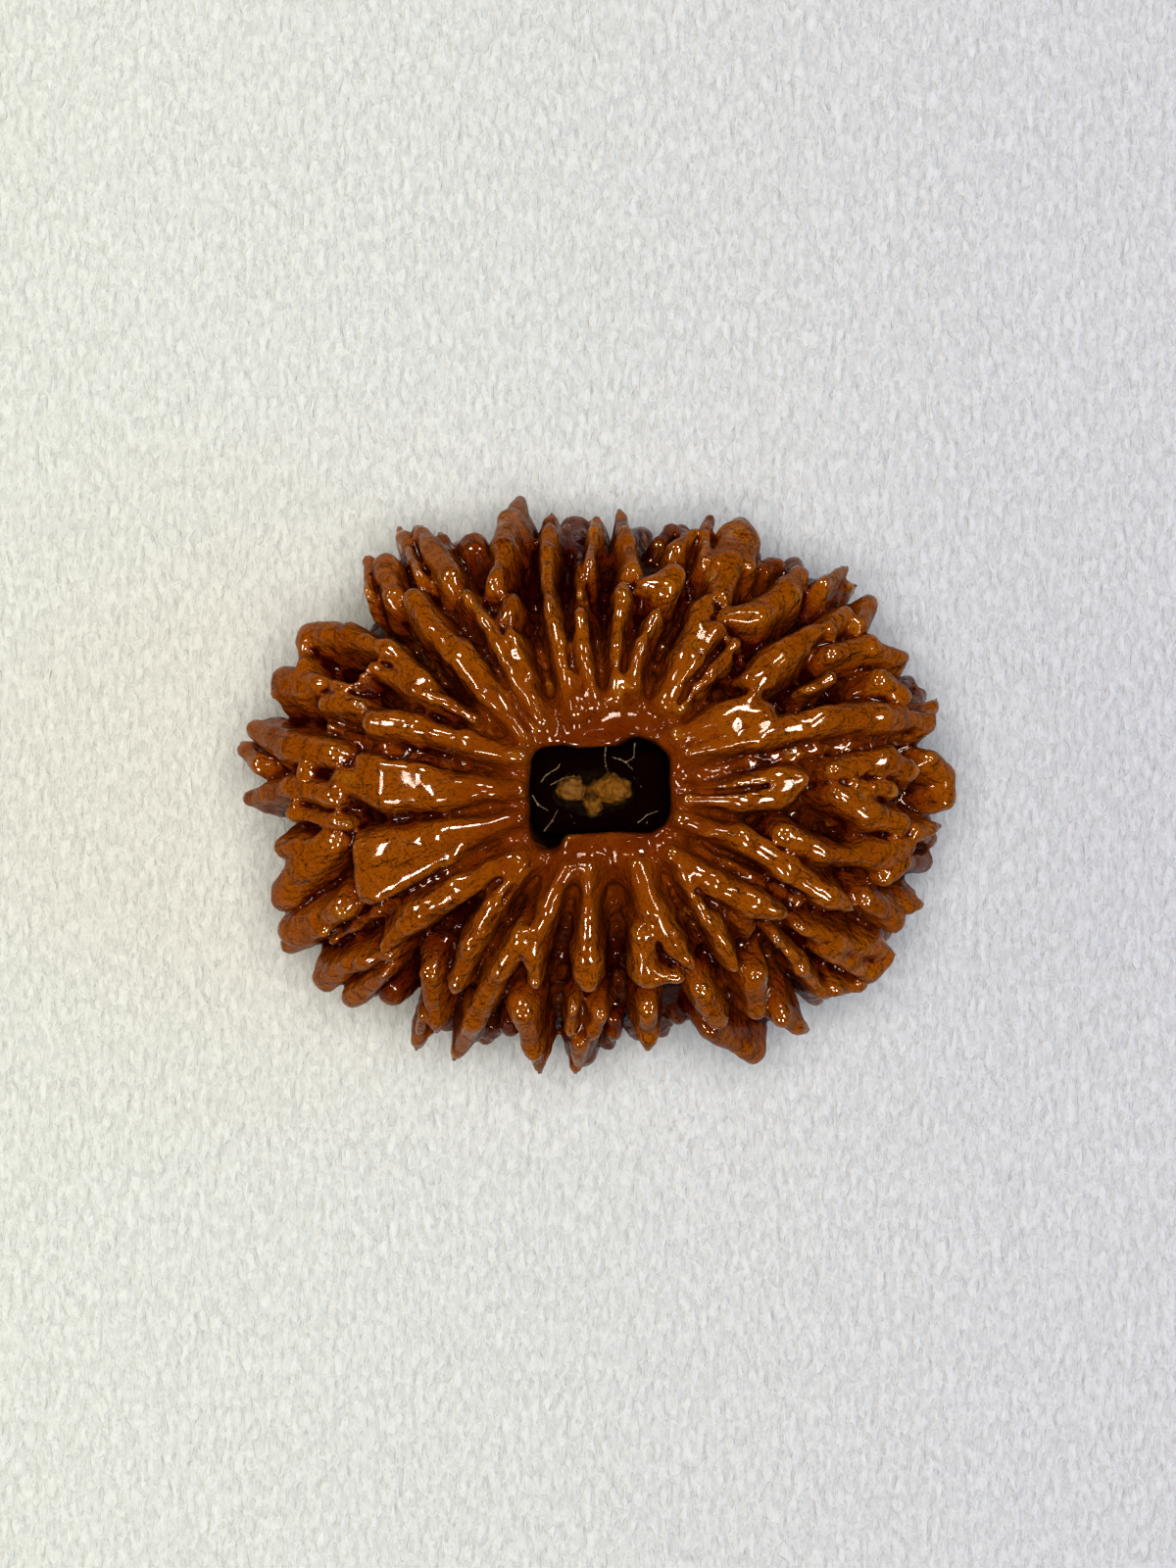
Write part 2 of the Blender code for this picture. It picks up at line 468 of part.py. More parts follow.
def cell_count(solid):
    """How many of each cell's eight corners are solid."""
    corners = product((0, 1), repeat=3)
    return sum(solid[corner_of_cells(solid.shape, corner)].astype(np.int8) for corner in corners)


def pinched(solid):
    """Corners to fill where two parts of the surface would meet at an edge or a point only."""
    fill = np.zeros_like(solid)
    for axis in range(3):
        ends = [[u, v] for u, v in ((0, 0), (0, 1), (1, 0), (1, 1))]
        for end in ends:
            end.insert(axis, None)
        where = [corner_of_cells(solid.shape, end) for end in ends]
        a, b, c, d = (solid[at] for at in where)
        fill[where[1]] |= a & d & ~b & ~c
        fill[where[0]] |= b & c & ~a & ~d
    count = cell_count(solid)
    for j, k in product((0, 1), repeat=2):
        here = corner_of_cells(solid.shape, (0, j, k))
        beside = corner_of_cells(solid.shape, (1, j, k))
        opposite = corner_of_cells(solid.shape, (1, 1 - j, 1 - k))
        fill[beside] |= solid[here] & solid[opposite] & (count == 2)
        fill[here] |= ~solid[here] & ~solid[opposite] & (count == 6)
    return fill


def close_pinches(field, most_rounds=30):
    for _ in range(most_rounds):
        fill = pinched(field < 0)
        if not fill.any():
            break
        field = np.where(fill, -1e-3, field)
    return field


def close_hollows(field):
    """Makes solid whatever air is shut in, so that the surface is one skin."""
    air = field >= 0
    open_air = np.zeros_like(air)
    open_air[0, 0, 0] = True
    size = 0
    while open_air.sum() > size:
        size = open_air.sum()
        for axis in range(3):
            found, way = np.moveaxis(open_air, axis, 0), np.moveaxis(air, axis, 0)
            for i in range(1, len(found)):
                found[i] |= found[i - 1] & way[i]
            for i in range(len(found) - 2, -1, -1):
                found[i] |= found[i + 1] & way[i]
    return np.where(air & ~open_air, -1e-3, field)


def skin(field, axes):
    """Points and four-sided faces of the surface where a distance field is zero."""
    solid = field < 0
    count = cell_count(solid)
    active = (count > 0) & (count < 8)
    number = np.full(active.shape, -1, np.int64)
    number[active] = np.arange(active.sum())
    cells = np.argwhere(active)
    total = np.zeros((len(cells), 3))
    crossings = np.zeros((len(cells), 1))
    for axis in range(3):
        step = np.eye(3, dtype=int)[axis]
        for offset in product((0, 1), repeat=3):
            if offset[axis]:
                continue
            near = cells + offset
            far = near + step
            a, b = field[tuple(near.T)], field[tuple(far.T)]
            crossing = ((a < 0) != (b < 0))[:, None]
            share = (a / np.where(a == b, 1, a - b))[:, None]
            total += np.where(crossing, offset + share * step, 0)
            crossings += crossing
    start = np.array([axis[0] for axis in axes])
    cell = axes[0][1] - axes[0][0]
    points = start + cell * (cells + total / crossings)
    faces = []
    for axis in range(3):
        u, v = (np.eye(3, dtype=int)[(axis + turn) % 3] for turn in (1, 2))
        step = np.eye(3, dtype=int)[axis]
        ends = [slice(1, n - 1) for n in field.shape]
        ends[axis] = slice(0, field.shape[axis] - 1)
        others = [slice(e.start + s, e.stop + s) for e, s in zip(ends, step)]
        here, there = solid[tuple(ends)], solid[tuple(others)]
        corner = np.argwhere(here != there) + [e.start for e in ends]
        ring = [number[tuple((corner - back).T)] for back in (0 * u, u, u + v, v)]
        quads = np.stack(ring, axis=1)
        outward = solid[tuple(corner.T)]
        faces.append(np.where(outward[:, None], quads, quads[:, ::-1]))
    return points, np.concatenate(faces)


def add_node(name, field, axes, triangles, material):
    """An object whose mesh is the field's skin, thinned to about this many triangles."""
    points, faces = skin(close_hollows(close_pinches(field)), axes)
    points -= (*MIDDLE, FOOT_LEVEL)
    dense = bpy.data.meshes.new(name)
    dense.from_pydata((points * MM).tolist(), [], faces.tolist())
    node = bpy.data.objects.new(name, dense)
    bpy.context.scene.collection.objects.link(node)
    thin = node.modifiers.new("Thin out", "DECIMATE")
    thin.ratio = triangles / (2 * len(faces))
    thin.use_collapse_triangulate = True
    node.data = bpy.data.meshes.new_from_object(node.evaluated_get(bpy.context.evaluated_depsgraph_get()))
    node.modifiers.clear()
    bpy.data.meshes.remove(dense)
    node.data.name = name
    node.data.shade_smooth()
    node.data.materials.append(material)
    for vertex in node.data.vertices:
        if vertex.co.z < FOOT_SNAP * MM:
            vertex.co.z = 0.0


def finish(name, colour, roughness):
    material = bpy.data.materials.new(name)
    material.use_nodes = True
    shader = material.node_tree.nodes["Principled BSDF"]
    shader.inputs["Base Color"].default_value = (*colour, 1.0)
    shader.inputs["Roughness"].default_value = roughness
    shader.inputs["Metallic"].default_value = 0.0
    return material


def clear_scene():
    for obj in list(bpy.data.objects):
        bpy.data.objects.remove(obj)


def main():
    clear_scene()
    oiled = finish("oiled_stone", (0.25, 0.058, 0.003), 0.25)
    dry = finish("dry_pith", (0.30, 0.15, 0.03), 0.8)
    add_node("bead", *stone_field(CELL), STONE_TRIANGLES, oiled)
    add_node("pith", *pith_field(PITH_CELL), PITH_TRIANGLES, dry)


main()
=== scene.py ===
import math
import random
from itertools import product

import bpy
import numpy as np
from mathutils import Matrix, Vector


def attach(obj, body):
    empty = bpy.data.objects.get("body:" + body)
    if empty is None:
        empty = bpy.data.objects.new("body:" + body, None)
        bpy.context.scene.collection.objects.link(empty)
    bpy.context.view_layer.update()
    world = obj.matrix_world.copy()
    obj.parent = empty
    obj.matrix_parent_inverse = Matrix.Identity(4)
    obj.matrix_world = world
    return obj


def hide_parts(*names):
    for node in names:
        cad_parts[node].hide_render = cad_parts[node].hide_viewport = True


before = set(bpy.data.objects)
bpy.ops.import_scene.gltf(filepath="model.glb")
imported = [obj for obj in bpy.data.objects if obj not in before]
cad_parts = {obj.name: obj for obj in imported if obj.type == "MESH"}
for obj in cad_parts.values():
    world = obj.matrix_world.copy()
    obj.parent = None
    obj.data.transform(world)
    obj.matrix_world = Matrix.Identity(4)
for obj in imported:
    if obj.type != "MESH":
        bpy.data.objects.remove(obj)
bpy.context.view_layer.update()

scene = bpy.context.scene


# The stone. It is the hard brown seed stone of a wild fruit, grown as one piece: ridges rise from a
# smooth collar round the socket, fork on their way out and end in thorns. It has been cleaned,
# oiled and polished by handling.

# Sizes are in millimetres from the middle of the socket and the widest level, as the ridges were
# drawn from the photograph
MM = 0.001

# The stone over its crests, its flat foot, and the middle of its outline
LENGTH = 36.9
BREADTH = 29.5
HALF_HEIGHT = 12.0
FOOT_LEVEL = -11.55
FOOT_SNAP = 0.06
MIDDLE = (-0.15, 0.148)
BOXINESS = 2.25

# The body under the ridges, which the clefts go down to
BODY_HALF = np.array((15.7, 12.2, 10.0))

# How a ridge is drawn out of the body: its crest is narrower than the ridge by this inset, or this
# share of it, and rises no more than this; its flanks spread to this depth; its walls run inward
CREST_SHARE = 0.6
CREST_INSET = 0.22
CREST_RISE = 0.5
FLANK_SPREAD = 0.28
FLANK_DEPTH = 1.7
WALL_STRETCH = 4.0

# Ends narrower than this run out to a point, so many half widths on and so much narrower
POINTED_UNDER = 0.66
POINT_REACH = 0.9
POINT_WIDTH = 0.4

# The grid that the stone is sampled on, with its margin, and the value of a sample made just solid
STONE_CELL = 0.16
GRID_MARGIN = 0.5
JUST_SOLID = np.float32(-1e-3)
STONE_TRIANGLES = 196000
FILLET = 0.3

# Crown ridges as they stand round the socket, each from root to tip: (x, y, half width)
CROWN_RIDGES = (
    # towards +Y
    ((-1.2, 4.0, 0.6), (-1.85, 6.5, 0.65), (-2.55, 9.25, 0.55), (-2.75, 12.0, 0.5), (-2.6, 12.85, 0.42)),
    ((-0.25, 4.25, 0.6), (-0.8, 6.75, 0.6), (-1.0, 8.75, 0.45)),
    ((-0.5, 11.25, 0.55), (-0.3, 13.0, 0.4), (-0.2, 13.45, 0.25)),
    ((0.75, 4.5, 0.6), (0.85, 7.0, 0.55), (1.1, 9.75, 0.6)),
    ((1.6, 10.9, 0.75), (1.35, 12.5, 0.6), (1.25, 13.0, 0.4)),
    ((1.5, 5.25, 0.7), (2.0, 7.15, 0.5), (2.75, 8.65, 0.42)),
    ((2.3, 10.3, 0.6), (3.2, 10.2, 1.05), (3.7, 10.7, 0.95)),
    ((3.8, 12.1, 0.7), (4.55, 12.85, 0.4)),
    ((5.2, 11.5, 0.45), (5.4, 13.15, 0.35)),
    ((6.1, 9.65, 0.75), (6.4, 11.25, 1.0), (7.0, 12.6, 1.2), (7.15, 13.25, 0.9)),
    ((7.5, 11.2, 0.5), (7.65, 12.25, 0.5)),
    ((3.4, 4.35, 0.8), (4.4, 6.65, 0.95), (5.2, 9.05, 0.65)),
    ((4.8, 6.2, 0.7), (5.8, 7.9, 0.75)),
    ((4.0, 4.15, 0.7), (5.3, 5.75, 0.8), (6.6, 7.05, 0.75)),
    # towards +X and +Y
    ((6.3, 8.65, 0.6), (7.9, 8.85, 0.9), (9.4, 9.85, 0.95), (10.0, 10.75, 0.75)),
    ((11.3, 10.25, 0.6), (12.4, 11.1, 0.4)),
    ((7.65, 5.25, 0.9), (9.25, 6.65, 1.0), (10.65, 7.85, 0.7)),
    ((11.5, 8.0, 0.7), (12.25, 8.85, 0.7)),
    ((13.0, 8.25, 0.65), (13.6, 9.35, 0.75)),
    ((11.65, 6.85, 0.7), (13.65, 7.15, 0.75), (15.25, 6.65, 0.7)),
    ((14.05, 5.5, 0.8), (15.15, 4.65, 0.8)),
    ((10.5, 4.95, 0.5), (11.65, 5.5, 0.45)),
    ((4.0, 2.65, 0.7), (6.15, 3.5, 1.1), (8.15, 3.9, 0.9)),
    ((6.5, 3.9, 0.8), (7.5, 4.55, 0.6)),
    ((4.4, 1.85, 0.55), (7.9, 2.65, 0.8), (11.15, 3.6, 1.0), (14.15, 3.65, 0.95), (16.5, 3.25, 0.8)),
    ((16.5, 3.6, 0.5), (16.8, 4.15, 0.5)),
    # towards +X
    ((4.4, -0.5, 0.5), (6.9, -0.25, 1.05), (8.9, 0.1, 1.2), (10.0, 0.45, 0.75)),
    ((11.8, 1.0, 0.8), (14.4, 1.4, 0.95), (15.8, 0.75, 0.8)),
    ((12.8, 0.2, 0.6), (14.6, -0.1, 0.75)),
    ((11.9, -0.15, 0.7), (13.4, -1.25, 1.0), (15.0, -1.65, 0.9)),
    ((11.8, -3.35, 0.7), (13.9, -3.25, 0.9), (15.4, -2.9, 0.7)),
    ((16.65, 1.5, 0.8), (17.4, 0.75, 0.85), (17.45, -0.55, 0.75)),
    ((15.9, -2.15, 0.8), (16.65, -2.0, 0.6)),
    ((4.15, -1.55, 0.6), (6.9, -2.4, 0.8), (9.4, -4.05, 0.9), (11.5, -5.45, 0.85), (12.4, -5.85, 0.6)),
    ((9.3, -2.25, 0.8), (11.15, -3.35, 0.8)),
    ((14.4, -4.55, 0.6), (15.3, -3.9, 0.5)),
    # towards +X and -Y
    ((3.6, -3.25, 0.6), (5.65, -4.65, 0.85), (7.65, -5.75, 0.95), (9.0, -6.25, 0.6)),
    ((9.9, -6.85, 0.6), (11.9, -7.75, 0.8), (14.15, -8.15, 0.7)),
    ((13.4, -5.65, 0.8), (14.8, -6.5, 0.95)),
    ((15.65, -6.0, 0.6), (16.15, -5.85, 0.4)),
    ((4.15, -4.25, 0.5), (5.5, -6.5, 0.65), (6.7, -8.75, 0.6)),
    ((8.8, -7.5, 0.6), (10.15, -9.0, 0.6), (11.15, -10.25, 0.4)),
    ((11.4, -8.15, 0.7), (13.65, -9.15, 0.9), (14.4, -8.65, 0.6)),
    ((11.8, -10.15, 0.5), (13.15, -10.0, 0.4)),
    ((5.0, -10.0, 0.75), (5.9, -11.6, 0.85)),
    ((7.8, -9.25, 0.95), (7.9, -11.25, 0.8)),
    ((9.15, -11.5, 0.8), (10.0, -12.0, 0.5)),
    # towards -Y
    ((1.9, -3.85, 0.7), (2.65, -6.0, 0.8), (3.8, -7.85, 0.8), (4.4, -8.6, 0.6)),
    ((2.15, -7.25, 0.8), (2.3, -9.25, 0.85), (3.9, -9.5, 0.4)),
    ((2.4, -11.0, 0.8), (2.4, -12.5, 0.6)),
    ((-0.6, -4.0, 0.5), (-0.6, -6.25, 0.6), (-0.7, -8.5, 0.9), (-0.6, -9.65, 0.85)),
    ((-1.35, -11.0, 0.5), (-1.45, -12.15, 0.4)),
    ((0.0, -11.4, 0.75), (-0.3, -12.2, 0.6)),
    ((-1.0, -12.75, 0.6), (-1.2, -14.15, 0.45)),
    ((-1.7, -4.1, 0.6), (-2.6, -6.0, 0.7), (-3.35, -8.0, 0.75), (-3.25, -9.75, 0.4)),
    ((-3.85, -11.25, 0.9), (-3.35, -13.15, 0.6), (-3.15, -14.1, 0.35)),
    ((-4.0, -7.25, 0.75), (-5.0, -9.0, 0.75), (-6.35, -11.75, 0.75), (-7.2, -13.35, 0.6)),
    # towards -X and -Y
    ((-3.85, -3.85, 0.7), (-5.25, -5.5, 0.8), (-6.35, -7.75, 0.7), (-7.2, -9.75, 0.55)),
    ((-8.6, -9.25, 0.7), (-8.3, -11.65, 0.6)),
    ((-9.0, -11.5, 0.3), (-9.25, -12.75, 0.45)),
    ((-4.35, -3.5, 0.7), (-7.1, -4.9, 0.9), (-9.1, -6.15, 0.95), (-10.5, -7.5, 0.65)),
    ((-10.6, -8.35, 0.6), (-12.6, -8.85, 0.7), (-13.95, -9.65, 1.0)),
    ((-10.85, -9.35, 0.4), (-12.5, -10.5, 0.8)),
    # towards -X
    ((-4.1, -1.45, 0.5), (-8.1, -2.6, 1.15), (-11.2, -3.6, 1.6)),
    ((-7.6, -3.15, 1.0), (-11.35, -5.0, 1.2)),
    ((-12.0, -2.8, 0.55), (-11.9, -4.2, 0.65), (-11.3, -5.3, 0.65)),
    ((-4.1, -0.05, 0.55), (-8.1, 0.0, 1.2), (-10.85, 0.15, 1.35), (-12.9, 0.4, 0.9)),
    ((-8.6, 0.75, 0.9), (-11.85, 1.35, 0.7)),
    ((-13.35, 1.85, 0.9), (-15.6, 2.15, 1.0), (-17.5, 3.0, 0.8)),
    ((-17.2, 1.2, 0.7), (-18.0, 2.0, 0.55)),
    ((-13.35, -0.35, 0.9), (-15.6, 0.1, 0.7), (-17.7, -0.5, 0.7)),
    ((-14.85, 1.0, 0.5), (-15.5, -1.15, 0.5), (-13.35, -1.65, 0.6)),
    ((-13.6, -2.75, 1.0), (-15.0, -4.0, 1.1), (-15.9, -5.4, 1.1)),
    ((-13.1, -6.0, 0.8), (-15.5, -7.2, 1.1)),
    ((-13.9, -7.1, 0.6), (-15.7, -7.9, 0.7)),
    ((-14.0, -3.0, 0.8), (-16.0, -3.0, 0.8)),
    # towards -X and +Y
    ((-8.6, 5.25, 0.6), (-10.6, 6.9, 0.75), (-12.6, 7.85, 0.7), (-14.7, 7.7, 0.9)),
    ((-14.1, 5.25, 0.8), (-15.95, 5.3, 1.1)),
    ((-15.0, 7.3, 0.5), (-14.9, 6.3, 0.5), (-14.2, 5.4, 0.5), (-12.9, 5.1, 0.5), (-12.0, 5.7, 0.4)),
    ((-12.1, 4.15, 0.7), (-13.7, 4.35, 0.8)),
    ((-6.35, 3.5, 0.6), (-9.1, 4.85, 0.7), (-11.35, 6.15, 0.45)),
    ((-4.1, 1.65, 0.6), (-6.6, 2.4, 0.85), (-9.1, 3.15, 0.85), (-11.35, 3.4, 0.85)),
    ((-3.85, 2.65, 0.6), (-5.45, 4.65, 0.85), (-7.0, 6.65, 1.05), (-7.85, 7.65, 0.8)),
    ((-8.35, 8.0, 0.9), (-9.35, 9.5, 0.8)),
    ((-10.5, 9.75, 0.8), (-10.8, 11.25, 0.95)),
    ((-11.75, 10.0, 0.4), (-11.7, 11.5, 0.5)),
    ((-3.0, 3.5, 0.6), (-4.35, 5.75, 0.75), (-5.75, 8.25, 0.7), (-6.6, 9.65, 0.5)),
    ((-3.6, 5.75, 0.6), (-4.35, 7.5, 0.6)),
    ((-5.35, 10.4, 0.6), (-4.8, 12.25, 0.85), (-4.5, 13.6, 0.75), (-4.2, 14.25, 0.55)),
    ((-7.5, 10.65, 0.85), (-8.5, 12.15, 0.85), (-9.0, 12.85, 0.6)),
    ((-9.2, 11.0, 0.4), (-10.0, 12.75, 0.55)),
)

# Thorns that stand lower than their neighbours: how much lower, then as above
SUNK_THORNS = (
    (0.8, ((-1.0, 9.85, 0.5), (-0.95, 11.0, 0.5))),
    (0.6, ((-4.75, 8.5, 0.65), (-4.35, 9.35, 0.75))),
    (0.8, ((6.9, -6.25, 0.7), (8.15, -8.0, 0.8))),
    (1.5, ((5.6, -12.1, 0.95), (7.8, -13.25, 0.85))),
    (3.0, ((-6.35, 12.0, 1.0), (-6.4, 12.2, 1.0))),
    (3.0, ((-7.8, 12.0, 0.4), (-8.0, 12.65, 0.4))),
    (2.5, ((-2.7, 12.5, 0.6), (-2.5, 13.5, 0.5))),
    (4.0, ((-1.7, 12.0, 0.6), (-1.7, 12.85, 0.6))),
    (2.5, ((1.2, 12.9, 0.5), (1.1, 13.75, 0.4))),
    (4.0, ((3.0, 12.25, 0.7), (3.6, 13.1, 0.5))),
    (2.0, ((5.5, 12.9, 0.35), (5.6, 13.75, 0.3))),
    (3.5, ((8.2, 11.0, 0.9), (8.9, 11.3, 0.8))),
    (2.0, ((11.8, 10.0, 0.6), (12.5, 10.2, 0.5))),
    (3.5, ((-10.6, -9.8, 1.0), (-10.6, -10.25, 1.0))),
    (3.5, ((-4.6, -11.5, 0.7), (-4.6, -12.1, 0.7))),
    (3.0, ((0.65, -11.6, 0.6), (0.65, -12.2, 0.6))),
    (5.0, ((1.15, -10.8, 0.5), (1.15, -11.4, 0.5))),
    (4.5, ((3.9, -11.0, 0.7), (3.9, -11.6, 0.7))),
)

# Clefts between the ridges, cut this many times as deep as they are half wide: as above. No cut
# reaches further round its line than this room.
CUT_ROOM = 2.0
CLEFT_STRETCH = 5.5
CLEFTS = (
    # above the socket
    ((-2.65, 5.3, 0.2), (-3.1, 7.5, 0.35), (-3.3, 9.2, 0.4), (-3.75, 10.9, 0.5), (-3.6, 12.2, 0.5)),
    ((-1.45, 6.2, 0.15), (-1.65, 8.7, 0.25), (-1.75, 12.0, 0.35)),
    ((0.1, 5.4, 0.25), (0.05, 7.5, 0.4), (0.15, 9.6, 0.45), (0.45, 12.4, 0.4)),
    ((1.25, 6.2, 0.15), (1.5, 8.2, 0.25), (1.9, 9.3, 0.25)),
    ((2.35, 5.5, 0.2), (3.0, 7.0, 0.4), (3.9, 9.0, 0.35), (4.8, 11.0, 0.4)),
    ((-4.3, 4.7, 0.15), (-5.6, 6.8, 0.3), (-6.8, 8.7, 0.4)),
    ((-6.3, 4.3, 0.2), (-8.0, 5.9, 0.45), (-9.1, 7.1, 0.5)),
    ((-7.3, 3.35, 0.15), (-9.5, 4.3, 0.25), (-11.2, 4.9, 0.3)),
    # right of it
    ((5.0, 4.55, 0.15), (6.3, 5.35, 0.35), (7.2, 5.15, 0.3)),
    ((8.7, 4.85, 0.3), (10.0, 4.4, 0.4), (12.0, 4.7, 0.3)),
    ((7.1, 6.9, 0.3), (8.0, 7.8, 0.3)),
    ((4.4, 5.35, 0.12), (5.1, 6.0, 0.2), (6.25, 7.55, 0.25)),
    ((16.0, 2.0, 0.2), (16.2, 0.9, 0.25), (16.1, -0.4, 0.3)),
    ((9.9, 8.5, 0.25), (11.0, 9.4, 0.35)),
    ((10.9, 1.4, 0.2), (10.9, 0.2, 0.25), (11.0, -1.3, 0.3)),
    # below it
    ((-1.35, -5.0, 0.25), (-1.85, -7.5, 0.42), (-2.1, -10.4, 0.5)),
    ((0.6, -5.0, 0.3), (0.85, -8.0, 0.5), (0.95, -11.0, 0.45)),
    ((2.9, -4.9, 0.15), (4.3, -6.7, 0.3), (5.3, -8.8, 0.35)),
    ((4.9, -5.2, 0.15), (6.0, -6.4, 0.2)),
    ((8.2, -7.9, 0.3), (9.3, -9.3, 0.45)),
    ((-3.5, -5.0, 0.2), (-4.55, -6.9, 0.3), (-5.7, -8.7, 0.3)),
    ((-5.1, -4.7, 0.15), (-6.9, -6.3, 0.4), (-8.4, -7.8, 0.55)),
    # down the rough seams, right, lower left, upper left and lower right
    ((4.4, 0.6, 0.2), (7.4, 1.35, 0.35), (10.9, 1.95, 0.35), (16.0, 2.75, 0.3)),
    ((-3.85, -2.5, 0.2), (-8.1, -4.45, 0.35), (-11.1, -6.15, 0.35), (-14.1, -8.0, 0.35)),
    ((-5.4, 0.8, 0.2), (-10.6, 1.9, 0.35), (-14.1, 3.35, 0.35)),
    ((4.4, -2.65, 0.25), (7.4, -4.25, 0.4), (10.4, -5.9, 0.35)),
)

# Pits, cut this many times as deep as they are half wide: as above
PIT_STRETCH = 3.2
PITS = (
    ((-13.7, 6.45, 0.7), (-12.8, 6.3, 0.85)),
    ((-6.5, 10.7, 0.7), (-6.2, 11.5, 0.75)),
    ((-10.9, 8.3, 0.7), (-10.7, 8.5, 0.7)),
    ((11.4, -1.1, 0.5), (12.5, -2.2, 0.7)),
    ((12.3, 5.85, 0.55), (13.3, 6.0, 0.6)),
    ((8.0, -8.6, 0.5), (7.5, -8.6, 0.5)),
)

# Rough seams down the middle of the widest clefts, which lie this far under the crests
SEAM_DEPTH = 1.2
CLEFT_SEAMS = (
    ((5.4, 0.85, 0.25), (7.4, 1.35, 0.38), (10.9, 1.95, 0.4), (13.4, 2.4, 0.4), (15.6, 2.7, 0.35)),
    ((-4.6, -2.85, 0.25), (-8.1, -4.45, 0.36), (-11.1, -6.15, 0.38), (-13.6, -7.75, 0.35)),
    ((-6.0, 0.9, 0.25), (-10.6, 1.9, 0.36), (-13.6, 3.15, 0.36)),
    ((5.0, -3.0, 0.25), (7.4, -4.25, 0.4), (10.0, -5.7, 0.36)),
)

# Fine creases that run along the broad plates, their half width, and how many times as deep they are:
# (x, y) from root to tip
CREASE_WIDTH = 0.09
CREASE_ROOM = 1.0
CREASE_STRETCH = 6.0
CREASE_FILLET = 0.12
CREASES = (
    ((-3.6, -0.5), (-6.0, -0.95), (-8.4, -1.35), (-10.6, -2.0)),
    ((4.0, -0.2), (6.2, -0.15), (8.4, 0.15)),
    ((-4.2, 1.9), (-6.2, 3.0), (-8.0, 4.1)),
    ((3.3, 3.4), (4.4, 5.0), (5.1, 6.8)),
    ((3.0, -3.2), (4.1, -5.0), (5.0, -7.0)),
    ((-3.2, -3.4), (-4.6, -5.2), (-5.6, -7.0)),
    ((0.2, -4.2), (0.1, -6.0), (0.0, -8.2)),
)

# The collar that the ridges spring from, and the socket through it
COLLAR_HALF = np.array((4.9, 4.5, 1.6))
COLLAR_TOP = 11.5
COLLAR_FILLET = 1.2
SOCKET_MIDDLE = (-0.05, -0.05)
SOCKET_HALF = (3.5, 2.2)
SOCKET_CORNER = 1.0
SOCKET_FLOOR = 4.6
SOCKET_FILLET = 0.4
NOTCH_TOP = 12.5
NOTCH_END = 7.0
SOCKET_NOTCHES = (
    ((-2.8, -2.75, 0.7), (-2.3, -1.4, 0.9)),
    ((1.9, 1.95, 1.0), (2.1, 1.0, 1.0)),
)

# The side hidden from above repeats the crown's ridges turned over, drawn in and shifted by chance,
# and carries each one round the widest line by way of a knob
SEED = 16
UNDER_SHRINK = 0.92
UNDER_SHIFT = 0.3
UNDER_WIDTH = (0.9, 1.15)
SIDE_TIP_BELOW = 8.0
SIDE_SHIFT = 0.9
KNOB_RISE = 0.8
KNOB_REACH = (0.85, 0.92)
KNOB_WIDTH = (0.5, 0.8)
RIB_TOP = 0.95
RIB_TOP_WIDTH = 0.8
RIB_FOOT = 0.97
LOWER_COLLAR_HALF = np.array((5.2, 4.8, 1.6))
LOWER_COLLAR_END = -12.1
LOWER_COLLAR_FILLET = 1.0
LOWER_SOCKET_RADIUS = 1.5
LOWER_SOCKET_DEPTH = 2.6
LOWER_SOCKET_FILLET = 0.3

# Relief on the skin, each as the spacing of its lumps, how far they stand, and a seed. The pocks fade in
# over this much past the collar, and the grit between these depths below the crests.
SWELL = (1.7, 0.14, 1)
LUMPS = (0.7, 0.09, 2)
POCKS = (0.4, 0.05, 4)
CLEFT_GRIT = (0.42, 0.16, 3)
PAST_COLLAR = 3.0
GRIT_STARTS = 0.9
GRIT_FULL = 2.4


def crest_height(x, y):
    """How far above the middle the crests stand over this point of the plan."""
    share = abs(2 * x / LENGTH) ** BOXINESS + abs(2 * y / BREADTH) ** BOXINESS
    return HALF_HEIGHT * max(1 - share, 0.0) ** (1 / BOXINESS)


def pointed(limb):
    """The limb with its end drawn out to a point, unless it is a stout lobe."""
    (x0, y0, _), (x1, y1, width) = limb[-2:]
    if width > POINTED_UNDER:
        return limb
    reach = POINT_REACH * width / math.hypot(x1 - x0, y1 - y0)
    return (*limb, (x1 + reach * (x1 - x0), y1 + reach * (y1 - y0), POINT_WIDTH * width))


def crest_half(width):
    """Half width of a ridge at its crest, which is less than the ridge's own."""
    return np.maximum(width - np.float32(CREST_INSET), width * np.float32(CREST_SHARE))


def raised(limb, drop=0.0):
    """A limb of the plan as points on the crests, each with its half width."""
    points = []
    for x, y, width in limb:
        z = crest_height(x, y) - min(crest_half(width), CREST_RISE) - drop
        points.append((np.array((x, y, z)), width))
    return points


def on_side(x, y, z, reach):
    """The point out beyond (x, y) at height z, at this share of the crests' distance."""
    share = abs(2 * x / LENGTH) ** BOXINESS + abs(2 * y / BREADTH) ** BOXINESS
    room = 1 - abs(z / HALF_HEIGHT) ** BOXINESS
    scale = reach * (room / share) ** (1 / BOXINESS)
    return np.array((x * scale, y * scale, z))


def turned_over(limb, draw):
    """The limb's mirror image under the bead."""
    under = []
    for x, y, width in limb:
        x = UNDER_SHRINK * x + draw.uniform(-UNDER_SHIFT, UNDER_SHIFT)
        y = UNDER_SHRINK * y + draw.uniform(-UNDER_SHIFT, UNDER_SHIFT)
        width *= draw.uniform(*UNDER_WIDTH)
        z = min(crest_half(width), CREST_RISE) - crest_height(x, y)
        under.append((np.array((x, y, z)), width))
    return under


